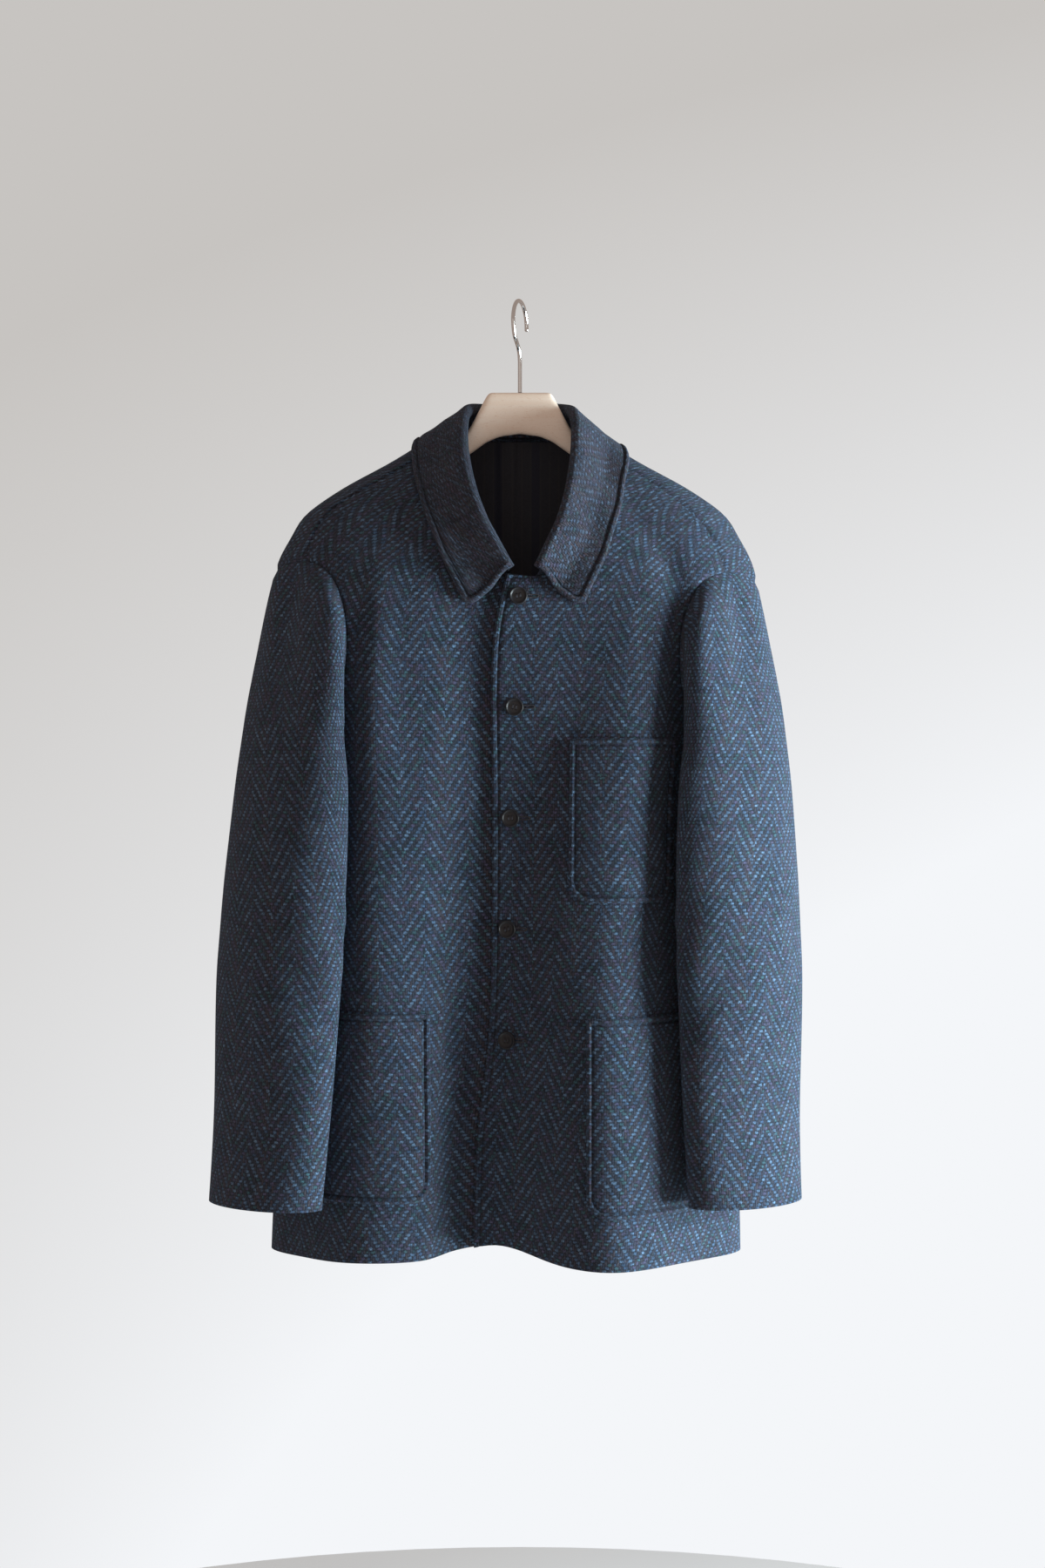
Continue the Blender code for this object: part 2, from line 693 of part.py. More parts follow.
def add_object(name, points, faces, finish):
    mesh = bpy.data.meshes.new(name)
    mesh.from_pydata([tuple(p) for p in points], [], faces)
    mesh.shade_smooth()
    mesh.set_sharp_from_angle(angle=math.radians(50))
    mesh.materials.append(finish)
    made = bpy.data.objects.new(name, mesh)
    bpy.context.collection.objects.link(made)
    return made


LONGEST_MITRE = 2.0  # how much further than its thickness a wall's corner may reach, in a fold


def share_normals(groups):
    """Gives each point of the sheets its normal: where two groups meet, the one midway in the fold."""
    found = {}
    for group in groups:
        normals = {}
        edges = {}
        for sheet in group:
            points = np.array(sheet.points)
            keys = list(sheet.known)
            for face in sheet.faces:
                a, b, c = points[list(face)]
                normal = unit(np.cross(b - a, c - a))
                for i, (here, after, before) in zip(face, ((a, b, c), (b, c, a), (c, a, b))):
                    corner = math.acos(np.clip(unit(after - here) @ unit(before - here), -1, 1))
                    normals[keys[i]] = normals.get(keys[i], 0) + normal * corner
                    end = face[(face.index(i) + 1) % 3]
                    inward = unit(np.cross(normal, after - here))
                    edges.setdefault(frozenset((keys[i], keys[end])), []).append(inward)
        inwards = {}
        for ends, faces in edges.items():
            for key in ends:
                if len(faces) == 1:
                    inwards[key] = inwards.get(key, 0) + faces[0]
        for key, normal in normals.items():
            found.setdefault(key, []).append((unit(normal), inwards.get(key)))
    for sheet in (sheet for group in groups for sheet in group):
        for key, i in sheet.known.items():
            sheet.normals[i], sheet.mitres[i] = midway_in_fold(found[key])
        for i, before, after in sheet.midway:
            sheet.normals[i] = (sheet.normals[before] + sheet.normals[after]) / 2


def midway_in_fold(found):
    """The normal midway between those of the surfaces that meet at a point, and the mitre there."""
    normal, inward = found[0]
    if len(found) == 1:
        return normal, 1.0
    other_normal, other_inward = found[1]
    inward, other_inward = unit(inward), unit(other_inward)
    valley = math.copysign(1, normal @ other_inward + other_normal @ inward)
    middle = unit(normal + other_normal + valley * (inward + other_inward))
    return middle, min(1 / max(middle @ normal, 1 / LONGEST_MITRE), LONGEST_MITRE)


# Sleeves, as if at +X, with x from the jacket's middle. Seen from above, a section is a chord
# from the front inside of the arm to its back outside. It bulges forward as far as makes the
# outline reach its distance from the middle, and backward by its own amount.
SLEEVE = Table(
    "z inner_x inner_y outer_x outer_y back_bulge",
    (-0.250, 0.168, -0.050, 0.200, 0.030, 0.020),
    (-0.330, 0.155, -0.092, 0.215, 0.065, 0.020),
    (-0.400, 0.156, -0.104, 0.240, 0.052, 0.022),
    (-0.490, 0.158, -0.112, 0.262, 0.018, 0.022),
    (-0.600, 0.160, -0.117, 0.277, -0.012, 0.026),
    (-0.740, 0.166, -0.119, 0.280, -0.030, 0.027),
    (-0.890, 0.176, -0.125, 0.282, -0.042, 0.023),
)
SLEEVE_OUTLINE = Table(
    "z reach",
    (-0.250, 0.2325),
    (-0.270, 0.2400),
    (-0.300, 0.2480),
    (-0.350, 0.2575),
    (-0.400, 0.2665),
    (-0.450, 0.2735),
    (-0.500, 0.2783),
    (-0.600, 0.2846),
    (-0.680, 0.2864),
    (-0.800, 0.2855),
    (-0.890, 0.2880),
)
SLEEVE_ROWS = 16
# Where the armhole meets the sleeve's section, in degrees, the part of the sleeve's length over
# which it leaves the armhole's shape, and how far it's pushed off the torso on the way. along is
# 0 at the underarm, 1 at the crest, 2 at the shoulder's end and 3 at the underarm again.
SEAM_TURN = Table(
    "along turn blend push",
    (0.00, 294, 0.14, 0.013),
    (0.22, 254, 0.16, 0.010),
    (0.45, 214, 0.22, 0.010),
    (0.67, 172, 0.28, 0.010),
    (0.89, 149, 0.30, 0.008),
    (1.00, 133, 0.30, 0.000),
    (1.50, 98, 0.30, 0.000),
    (2.00, 62, 0.30, 0.000),
    (2.22, 36, 0.33, 0.006),
    (2.45, 8, 0.33, 0.010),
    (2.70, -32, 0.25, 0.013),
    (3.00, -66, 0.14, 0.013),
)


def loop_steps():
    """Where each point of an armhole stands along it, as in SEAM_TURN."""
    counts = (ARM_FRONT_ROWS, ARM_TOP_ROWS, ARM_BACK_ROWS)
    return np.concatenate([i + np.arange(count) / count for i, count in enumerate(counts)])


SLEEVE_FORWARD = {1: 0.0, -1: 0.012}  # the sleeve at -X hangs further to the front, lower down


def sleeve_point(turn, z, side):
    """A point of the sleeve's outer face. turn is 0 at the back outside, a quarter in front."""
    inner = np.stack([SLEEVE("inner_x", z), SLEEVE("inner_y", z)], axis=-1)
    outer = np.stack([SLEEVE("outer_x", z), SLEEVE("outer_y", z)], axis=-1)
    half = (outer - inner) / 2
    normal = np.stack([half[..., 1], -half[..., 0]], axis=-1)
    normal /= np.linalg.norm(normal, axis=-1, keepdims=True)
    room = SLEEVE_OUTLINE("reach", z) - (inner + outer)[..., 0] / 2
    front_bulge = np.sqrt(np.maximum(room**2 - half[..., 0] ** 2, 0)) / normal[..., 0]
    sine = np.sin(turn)
    bulge = np.where(sine > 0, front_bulge, SLEEVE("back_bulge", z)) * sine
    flat = (inner + outer) / 2 + half * np.cos(turn)[..., None] + normal * bulge[..., None]
    x = LEAN("middle_x", z) + side * flat[..., 0]
    forward = SLEEVE_FORWARD[side] * smooth((-0.35 - z) / 0.25)
    return np.stack([x, flat[..., 1] - forward, z], axis=-1)


def sleeve_grid(side):
    """The sleeve's points, row by row from the armhole to the cuff."""
    loop = np.concatenate([part[:-1] for part in armhole(side)])
    start = torso(loop)
    first = np.radians(SEAM_TURN("turn", loop_steps()))
    last = first[0] - 2 * math.pi * np.arange(len(loop)) / len(loop)
    down = np.linspace(0, 1, SLEEVE_ROWS + 1)[:, None]
    turn = first + (last - first) * smooth(down / 0.7)
    z = start[:, 2] + (CUFF_Z - start[:, 2]) * down
    points = sleeve_point(turn, z, side)
    blend = SEAM_TURN("blend", loop_steps())
    points += (start - points[0]) * (1 - smooth(down / blend))[..., None]
    push = SEAM_TURN("push", loop_steps()) * smooth(down / 0.05) * (1 - smooth(down / 0.4))
    points += unit(torso(loop, 1.0) - start) * push[..., None]
    return points


# The collar is one strip folded along its roll: the stand inside the neck and the fall outside.
ROLL_RADIUS = 0.006  # to the visible side
STAND_STEPS = 2
ROLL_STEPS = 3
FALL_STEPS = 3
FALL_LIFT = 0.0015  # between the fall's edge and the panel under it
FALL_FADE = 0.4  # the part of the fall over which it comes down to the panel


def collar_ends(at):
    """The roll's point and the seam's and edge's places, where at runs from -9 to 9 round the neck."""
    last = len(COLLAR) - 1
    side = np.where(at >= 0, 1, -1)
    row = last - np.abs(at)
    knots = np.arange(-last, last + 1)
    rows = np.array([*COLLAR[:-1], *COLLAR[::-1]])
    signs = np.sign(np.append(np.arange(-last, 0), np.arange(0, last + 1)))
    roll = rows[:, 1:4].copy()
    roll[:, 0] = COLLAR_MIDDLE("middle_x", roll[:, 2]) - signs * roll[:, 0]
    roll = spline(knots, roll, at)
    lines = []
    for name in ("seam", "edge"):
        right = collar_line(name, 1, row)
        left = collar_line(name, -1, row) + (2, 0)
        lines.append(np.where((side < 0)[:, None], right, left))
    return roll, *lines


def halved(line):
    """The same line with a point added midway between each two."""
    made = np.zeros((2 * len(line) - 1, line.shape[1]))
    made[::2] = line
    made[1::2] = (line[1:] + line[:-1]) / 2
    return made


def collar_faces(neck_edge, steps=(STAND_STEPS, ROLL_STEPS, FALL_STEPS)):
    """The collar's visible and hidden faces, as grids of one row a station.

    neck_edge is the line of the panels' edges that the collar is sewn to, from its end at +X:
    places, points and normals. The collar has a station at each of its points and midway.
    """
    places_, sewn, sewn_normal = (halved(line) for line in neck_edge)
    last = len(COLLAR) - 1
    fine = np.linspace(-last, last, 1441)
    line = metric(collar_ends(fine)[1])
    at = np.array([fine[np.argmin(np.linalg.norm(line - place, axis=1))] for place in metric(places_)])
    at[0], at[-1] = -last, last
    count = len(at)
    roll, seam, edge = collar_ends(at)
    along_roll = unit(np.gradient(roll, axis=0))
    tip = torso(edge, FALL_LIFT + DOUBLE_CLOTH / 2)
    fall = tip - roll
    fall = unit(fall - along_roll * (fall * along_roll).sum(axis=1, keepdims=True))
    out = np.cross(fall, along_roll)
    out *= np.sign((out * (torso(edge, 1.0) - torso(edge))).sum(axis=1, keepdims=True))
    centre = roll + fall * ROLL_RADIUS
    neckwards = unit(torso(seam) - torso(seam + (edge - seam) * 0.1)) * SEAM_GAP * 2.5
    faces = []
    for inset in (0.0, DOUBLE_CLOTH):
        radius = ROLL_RADIUS - inset
        start = sewn + sewn_normal * (inset - DOUBLE_CLOTH) + neckwards
        stand_top = centre - out * radius
        rows = []
        for t in np.linspace(0, 1, steps[0] + 1)[:-1]:
            rise = np.linalg.norm(stand_top - start, axis=1, keepdims=True)
            bend = stand_top + fall * np.maximum(rise - ROLL_RADIUS, 0) * 0.4
            rows.append((1 - t) ** 2 * start + 2 * t * (1 - t) * bend + t * t * stand_top)
        for turn in np.linspace(0, math.pi, steps[1] + 1)[:-1]:
            rows.append(centre - out * radius * math.cos(turn) - fall * radius * math.sin(turn))
        reach = np.linalg.norm(tip - centre, axis=1, keepdims=True)
        under = seam + (edge - seam) * 0.1
        for t in np.linspace(0, 1, steps[2] + 1):
            flying = centre + out * radius + fall * reach * t
            place = under + (edge - under) * t
            lying = torso(place, np.full(count, FALL_LIFT + DOUBLE_CLOTH - inset))
            down = smooth(t / FALL_FADE)
            rows.append(flying * (1 - down) + lying * down)
        faces.append(np.stack(rows, axis=1))
    return faces


def closed_strip(top, bottom, flip=False):
    """Points and faces of the solid between two grids of the same size."""
    rows, columns = top.shape[:2]
    index = np.arange(rows * columns).reshape(rows, columns)
    faces = []
    for i in range(rows - 1):
        for j in range(columns - 1):
            faces.append((index[i, j], index[i + 1, j], index[i + 1, j + 1], index[i, j + 1]))
    if flip:
        faces = [face[::-1] for face in faces]
    count = rows * columns
    faces += [tuple(count + k for k in face[::-1]) for face in faces]
    rim = [*index[0], *index[1:, -1], *index[-1, -2::-1], *index[-2:0:-1, 0]]
    if flip:
        rim = rim[::-1]
    for a, b in zip(rim, rim[1:] + rim[:1]):
        faces.append((a, b, b + count, a + count))
    return np.concatenate([top.reshape(-1, 3), bottom.reshape(-1, 3)]), faces


# Patch pockets: open at the top, with rounded corners at the bottom.
POCKETS = {
    # name: x of its edge nearer the buttons, width, top z, bottom z, side
    "pocket_chest": (0.0480, 0.112, -0.4370, -0.5935, 1),
    "pocket_lower_left": (0.0640, 0.165, -0.7030, -0.8905, 1),
    "pocket_lower_right": (-0.0865, 0.165, -0.7000, -0.8800, -1),
}
POCKET_CORNER = 0.020
POCKET_CORNER_STEPS = 4
PATCH_LIFT = 0.0003  # between a pocket and the panel under it


def run_along(x, z):
    """Metres along the front at height z from its side at -X to x, and to each place of the ring."""
    row = int(round((z - BOTTOM_Z) / (TOP_Z - BOTTOM_Z) * (len(LEVELS) - 1)))
    half = RINGS[row, : len(ROUND) // 2 + 1]
    run = np.append(0, np.cumsum(np.linalg.norm(np.diff(half, axis=0), axis=1)))
    return np.interp(x, half[:, 0], run), run


def pocket_outline(name):
    """The pocket's outline as places on the front, anticlockwise seen from outside."""
    x, width, top_z, bottom_z, side = POCKETS[name]
    turns = np.linspace(0, math.pi / 2, POCKET_CORNER_STEPS + 1)
    inset = POCKET_CORNER * (1 - np.sin(turns))
    rise = POCKET_CORNER * (1 - np.cos(turns))
    near = [(step, bottom_z + up) for step, up in zip(inset[::-1], rise[::-1])]
    far = [(width - step, z) for step, z in near[::-1]]
    outline = []
    for step, z in [(0.0, top_z), *near, *far, (width, top_z)]:
        start, run = run_along(x, z)
        outline.append((np.interp(start + side * step, run, ROUND[: len(run)]), z))
    return np.array(outline[::side])


# Buttons
BUTTON_SIDES = 18
BUTTON_COUNT = 5
BUTTON = (
    # radius as a part of the button's, height in metres: from under the middle round to the top
    (0.00, 0.0000),
    (0.72, 0.0000),
    (1.00, 0.0013),
    (0.97, 0.0030),
    (0.86, 0.0035),
    (0.70, 0.0024),
    (0.00, 0.0022),
)


def lathe(profile, sides):
    """Points and faces of a turned solid about +Z whose profile starts and ends on the axis."""
    points = [(0, 0, profile[0][1])]
    for radius, height in profile[1:-1]:
        for k in range(sides):
            turn = 2 * math.pi * k / sides
            points.append((radius * math.cos(turn), radius * math.sin(turn), height))
    points.append((0, 0, profile[-1][1]))
    rings = len(profile) - 2
    faces = []
    for k in range(sides):
        after = (k + 1) % sides
        faces.append((0, 1 + after, 1 + k))
        for i in range(rings - 1):
            low = 1 + i * sides
            faces.append((low + k, low + after, low + sides + after, low + sides + k))
        faces.append((1 + (rings - 1) * sides + k, 1 + (rings - 1) * sides + after, len(points) - 1))
    return np.array(points), faces


def button(number, panel):
    """A button that just clears the panel's faces."""
    z = FIRST_BUTTON_Z - BUTTON_STEP * number
    place = np.array([around_at(PLACKET("button_x", z), z), z])
    seat = torso(place)
    normal = unit(torso(place, np.array(1.0)) - seat)
    right = unit(np.cross((0, 0, 1), normal))
    up = np.cross(normal, right)
    tree = BVHTree.FromPolygons([tuple(point) for point in panel.points], panel.faces)
    above = 0.010
    heights = []
    for turn in np.linspace(0, 2 * math.pi, 12, endpoint=False):
        rim = BUTTON_WIDTH / 2 * (right * math.cos(turn) + up * math.sin(turn))
        *_, distance = tree.ray_cast(Vector(seat + rim + normal * above), Vector(-normal))
        heights.append(above - distance)
    seat = seat + normal * (max(heights) + PATCH_LIFT)
    profile = [(radius * BUTTON_WIDTH / 2, height) for radius, height in BUTTON]
    points, faces = lathe(profile, BUTTON_SIDES)
    return seat + points @ np.stack([right, up, normal]), faces


# The lining behind the neck, as places on the back
LINING_OUTLINE = np.array([(1.13, -0.500), (1.87, -0.500), (1.87, -0.131), (1.13, -0.131)])


# The hanger: a bar of wood that rises to the middle, seen from the front as an arch. Under the
# shoulders it is raised or lowered until it just clears the cloth that hangs from it.
WOOD = (
    # x, top_z, bottom_z, depth
    (0.0000, -0.0896, -0.1305, 0.0120),
    (0.0200, -0.0896, -0.1333, 0.0120),
    (0.0312, -0.0896, -0.1380, 0.0120),
    (0.0330, -0.0925, -0.1388, 0.0120),
    (0.0480, -0.1215, -0.1495, 0.0130),
    (0.0530, -0.1300, -0.1530, 0.0135),
    (0.0610, -0.1350, -0.1590, 0.0140),
    (0.0700, -0.1385, -0.1640, 0.0150),
    (0.0800, -0.1400, -0.1690, 0.0160),
    (0.1050, -0.1520, -0.1840, 0.0170),
    (0.1300, -0.1670, -0.1980, 0.0180),
    (0.1550, -0.1815, -0.2105, 0.0180),
    (0.1780, -0.1950, -0.2215, 0.0180),
    (0.1920, -0.2060, -0.2290, 0.0150),
    (0.1975, -0.2140, -0.2260, 0.0080),
)
WOOD_SIDES = 12
WOOD_ROUNDING = 0.75  # 1 makes the section an ellipse, and less makes it squarer
CLEAR_FROM = 0.050  # from here out the wood is lowered where the collar would touch it
SEAT_FROM = 0.075  # and from here out it's seated under the cloth
SEAT_GAP = 0.0007


def wood_section(x, top, bottom, depth):
    turns = 2 * math.pi * (np.arange(WOOD_SIDES) + 0.5) / WOOD_SIDES
    rounded = lambda t: np.copysign(np.abs(t) ** WOOD_ROUNDING, t)
    y = depth / 2 * rounded(np.cos(turns))
    z = (top + bottom) / 2 + (top - bottom) / 2 * rounded(np.sin(turns))
    return np.stack([np.full(WOOD_SIDES, x), y, z], axis=1)


def wood(cover):
    """The hanger's wood, in sections across its length. cover is a tree of the faces over it."""
    rows = [(-x, *row) for x, *row in WOOD[:0:-1]] + list(WOOD)
    sections = []
    for x, *row in rows:
        section = wood_section(x, *row)
        if abs(x) > CLEAR_FROM:
            room = []
            for point in section[section[:, 2] > section[:, 2].mean()]:
                under = Vector((point[0], point[1], section[:, 2].mean() - 0.02))
                _, _, _, distance = cover.ray_cast(under, Vector((0, 0, 1)))
                if distance is not None:
                    room.append(under.z + distance - point[2])
            rise = min(room, default=0.0) - SEAT_GAP
            section[:, 2] += rise if abs(x) > SEAT_FROM else min(rise, 0.0)
        sections.append(section)
    count = len(sections)
    faces = [tuple(range(WOOD_SIDES))[::-1]]
    for i in range(count - 1):
        for k in range(WOOD_SIDES):
            a, b = i * WOOD_SIDES + k, i * WOOD_SIDES + (k + 1) % WOOD_SIDES
            faces.append((a, b, b + WOOD_SIDES, a + WOOD_SIDES))
    faces.append(tuple((count - 1) * WOOD_SIDES + k for k in range(WOOD_SIDES)))
    return np.concatenate(sections), faces


def tree_of(*solids):
    """A tree of the faces of several solids, to measure against."""
    points = []
    faces = []
    for found, its_faces in solids:
        faces += [tuple(i + len(points) for i in face) for face in its_faces]
        points += [tuple(point) for point in found]
    return BVHTree.FromPolygons(points, faces)


# The hook's wire, as (forward, z) in the plane of its crook
HOOK_END_TURN = 188  # degrees round the crook, from the front over the top to the free end
HOOK_FOOT = ((0.0176, -0.0358), (0.0097, -0.0418), (0.0020, -0.0505), (0.0, -0.0600))
HOOK_STEPS = 18
WIRE_SIDES = 10


def hook():
    """The wire from its free end over the rail and down into the wood."""
    crook_z = -CROOK_RADIUS + WIRE_WIDTH / 2
    turns = np.radians(np.linspace(HOOK_END_TURN, 0, HOOK_STEPS))
    flat = [(CROOK_RADIUS * math.cos(turn), crook_z + CROOK_RADIUS * math.sin(turn)) for turn in turns]
    foot = along([flat[-1], *HOOK_FOOT], 8)[1:]
    flat = [*flat, *foot, (0.0, WOOD_TOP_Z + SEAM_GAP)]
    forward = np.array([-math.sin(CROOK_TURN), -math.cos(CROOK_TURN)])
    path = np.array([(*(forward * f), z) for f, z in flat])
    heading = unit(np.gradient(path, axis=0))
    side = np.array([forward[1], -forward[0], 0.0])
    points = []
    for centre, ahead in zip(path, heading):
        normal = np.cross(ahead, side)
        for k in range(WIRE_SIDES):
            turn = 2 * math.pi * k / WIRE_SIDES
            points.append(centre + WIRE_WIDTH / 2 * (side * math.cos(turn) + normal * math.sin(turn)))
    faces = [tuple(range(WIRE_SIDES))[::-1]]
    for i in range(len(path) - 1):
        for k in range(WIRE_SIDES):
            a, b = i * WIRE_SIDES + k, i * WIRE_SIDES + (k + 1) % WIRE_SIDES
            faces.append((a, b, b + WIRE_SIDES, a + WIRE_SIDES))
    faces.append(tuple((len(path) - 1) * WIRE_SIDES + k for k in range(WIRE_SIDES)))
    return np.array(points), faces


def build():
    wool = material("herringbone wool", (0.030, 0.042, 0.062), 0.95)
    lining_cloth = material("lining", (0.010, 0.012, 0.020), 0.6)
    button_finish = material("buttons", (0.015, 0.015, 0.018), 0.35)
    wood_finish = material("hanger wood", (0.72, 0.50, 0.33), 0.45)
    chrome = material("hook chrome", (0.75, 0.75, 0.76), 0.15, 1.0)

    over = front_places(1, lambda z: PLACKET("edge_x", z))
    front_left = torso_sheet((over, False), straight_top=True)
    under = front_places(-1, lambda z: PLACKET("edge_x", z) + FRONT_OVERLAP)
    front_right = torso_sheet((under, True), out=lap_out(under), straight_top=True)
    main, flaps = back_places()
    back = torso_sheet((main, False), (flaps[1], True), (flaps[-1], False))
    sleeves = {side: Sheet() for side in (1, -1)}
    for side, sleeve in sleeves.items():
        sleeve.grid(sleeve_grid(side), flip=side == 1, closed=True)
    sheets = {
        "front_left": front_left,
        "front_right": front_right,
        "back": back,
        "sleeve_left": sleeves[1],
        "sleeve_right": sleeves[-1],
    }
    share_normals([(front_left, front_right, back), (sleeves[1],), (sleeves[-1],)])
    neck_edge = neck_line(sheets.values(), over, under, main, flaps)
    walls = {}
    for name, sheet in sheets.items():
        sheet.pull_in(SEAM_GAP * 0.6)
        walls[name] = sheet.wall(CLOTH)
        add_object(name, *walls[name], wool)

    collar = closed_strip(*collar_faces(neck_edge), flip=True)
    add_object("collar", *collar, wool)
    for name, (*_, side) in POCKETS.items():
        panel = front_left if side == 1 else front_right
        add_object(name, *panel.piece(pocket_outline(name)).wall(CLOTH, PATCH_LIFT + CLOTH), wool)
    for number in range(BUTTON_COUNT):
        add_object(f"button_{number + 1}", *button(number, front_left), button_finish)
    lining = back.piece(LINING_OUTLINE)
    add_object("back_lining", *lining.wall(LINING, -CLOTH - SEAM_GAP), lining_cloth)
    cover = tree_of(walls["back"], walls["front_left"], walls["front_right"], collar)
    add_object("hanger_wood", *wood(cover), wood_finish)
    add_object("hanger_hook", *hook(), chrome)


for old in list(bpy.data.objects):
    bpy.data.objects.remove(old, do_unlink=True)
build()
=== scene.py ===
# %% [markdown]
# # A work jacket of herringbone wool on a wooden hanger
# The real thing is cut from one heavy cloth: two fronts that button, a back, two sleeves, a
# collar that folds over, and three patch pockets. It could be sculpted or simulated, but a
# garment that only hangs is easier to control as drawn sections: rings for the body and ovals for
# the sleeves, joined along the same seams as the real one. Each piece then gets its own wall of
# cloth, its turned edges and its weave. Lengths are in metres, +Z is up, and the front faces -Y.


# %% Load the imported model
import math

import bpy
import numpy as np
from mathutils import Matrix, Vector
from mathutils.bvhtree import BVHTree


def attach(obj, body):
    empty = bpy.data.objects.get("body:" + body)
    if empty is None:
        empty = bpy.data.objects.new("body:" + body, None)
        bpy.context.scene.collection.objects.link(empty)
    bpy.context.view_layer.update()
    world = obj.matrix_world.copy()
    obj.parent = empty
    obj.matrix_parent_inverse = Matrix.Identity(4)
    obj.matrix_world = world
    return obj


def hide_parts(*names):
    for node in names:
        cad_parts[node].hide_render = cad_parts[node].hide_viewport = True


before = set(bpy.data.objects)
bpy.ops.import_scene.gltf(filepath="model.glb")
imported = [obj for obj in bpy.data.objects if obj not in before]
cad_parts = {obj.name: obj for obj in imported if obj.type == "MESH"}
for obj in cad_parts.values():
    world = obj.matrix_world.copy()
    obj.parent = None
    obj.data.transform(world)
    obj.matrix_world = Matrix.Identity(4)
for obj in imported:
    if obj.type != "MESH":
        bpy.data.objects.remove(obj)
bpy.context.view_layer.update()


# %% [markdown]
# ## Sizes and curves
# A maker would note a few widths and heights and draw smooth lines through them. Blender's curves
# could do that, but the same lines have to give points at any place, so a small cubic spline is
# written here. Each table names its columns, and its rows are heights or steps along a seam.


# %% Sizes of the cloth and the trims
CLOTH = 0.003  # one layer of the wool
DOUBLE_CLOTH = 0.0045  # two layers pressed together, in the collar
LINING = 0.001
SEAM_GAP = 0.0003  # between two pieces that are sewn together
CUFF_Z = -0.8825
UNDERARM_Z = -0.485
BUTTON_WIDTH = 0.0175
BUTTON_STEP = 0.107  # down the front, from one button to the next
FRONT_OVERLAP = 0.042  # how far one front reaches under the other
WIRE_WIDTH = 0.004
CROOK_RADIUS = 0.023  # of the wire's middle
CROOK_TURN = math.radians(17)  # the crook's plane against the jacket's depth
WOOD_TOP_Z = -0.0896
print("wall of cloth:", CLOTH, "m")


# %% Smooth curves through a few sizes
def spline(knots, values, at, period=None):
    """The smooth curve through the values at the knots, read at other places.

    Its ends are straight, or with a period it closes on itself.
    """
    knots = np.asarray(knots, float)
    values = np.asarray(values, float)
    at = np.asarray(at, float)
    if period is not None:
        knots = np.append(knots, knots[0] + period)
        values = np.append(values, values[:1], axis=0)
        at = knots[0] + (at - knots[0]) % period
    shape = values.shape[1:]
    values = values.reshape(len(knots), -1)
    gap = np.diff(knots)
    slope = np.diff(values, axis=0) / gap[:, None]
    last = len(gap)
    system = np.zeros((last + 1, last + 1))
    right = np.zeros_like(values)
    for i in range(1, last):
        system[i, i - 1 : i + 2] = gap[i - 1], 2 * (gap[i - 1] + gap[i]), gap[i]
        right[i] = 6 * (slope[i] - slope[i - 1])
    system[0, 0] = 1
    system[last, last] = 1
    if period is not None:
        system[0, last] = -1
        system[last] = 0
        system[last, :2] = 2 * gap[0], gap[0]
        system[last, last - 1 :] = gap[-1], 2 * gap[-1]
        right[last] = 6 * (slope[0] - slope[-1])
    bend = np.linalg.solve(system, right)
    i = np.clip(np.searchsorted(knots, at, side="right") - 1, 0, last - 1)
    step = (at - knots[i])[..., None]
    width = gap[i][..., None]
    first = slope[i] - width * (2 * bend[i] + bend[i + 1]) / 6
    second = bend[i] / 2 + step * (bend[i + 1] - bend[i]) / (6 * width)
    found = values[i] + step * (first + step * second)
    return found.reshape((*at.shape, *shape))


class Table:
    """Rows of sizes under named columns. The first column says where each row stands."""

    def __init__(self, columns, *rows):
        self.columns = columns.split()
        self.rows = np.array(sorted(rows), float)

    def __call__(self, name, at):
        column = self.rows[:, self.columns.index(name)]
        return spline(self.rows[:, 0], column, at)


def along(points, count):
    """Points at equal steps along a smooth curve through the given points, ends included."""
    points = np.asarray(points, float)
    knots = np.append(0, np.cumsum(np.linalg.norm(np.diff(points, axis=0), axis=1)))
    fine = spline(knots, points, np.linspace(0, knots[-1], 40 * len(points)))
    return even(fine, count)


def even(points, count):
    """The same polyline with its points at equal steps."""
    run = np.append(0, np.cumsum(np.linalg.norm(np.diff(points, axis=0), axis=1)))
    at = np.linspace(0, run[-1], count)
    return np.stack([np.interp(at, run, column) for column in points.T], axis=1)


def unit(vectors):
    return vectors / np.linalg.norm(vectors, axis=-1, keepdims=True)


def smooth(t):
    """0 up to 0, 1 from 1 on, and a soft step between."""
    t = np.clip(t, 0, 1)
    return t * t * (3 - 2 * t)


print("halfway up a soft step:", float(smooth(0.5)))


# %% [markdown]
# ## The body's shape
# Seen from above, each height has one closed ring, from the side at -X through the front and
# round the back. A lattice or sculpting could bend a tube into this, but rings keep every size in
# a table. The front has a soft ridge on each side and a valley at the buttons, which catch the
# light as in the photograph.


# %% Rings of the body
# The jacket hangs a little to -X, more so lower down.
LEAN = Table(
    "z middle_x",
    (-0.95, -0.0142),
    (-0.85, -0.0128),
    (-0.74, -0.0107),
    (-0.60, -0.0083),
    (-0.48, -0.0061),
    (-0.30, -0.0050),
    (-0.10, -0.0050),
)
SIDE = Table(
    "z half_width",
    (-0.960, 0.2345),
    (-0.880, 0.2320),
    (-0.750, 0.2255),
    (-0.600, 0.2165),
    (-0.485, 0.2080),
    (-0.400, 0.2240),
    (-0.330, 0.2370),
    (-0.284, 0.2420),
    (-0.267, 0.2389),
    (-0.250, 0.2323),
    (-0.232, 0.2223),
    (-0.215, 0.2119),
    (-0.206, 0.2023),
    (-0.1975, 0.1906),
    (-0.180, 0.1626),
    (-0.163, 0.1308),
    (-0.145, 0.1010),
    (-0.120, 0.0650),
    (-0.110, 0.0520),
)
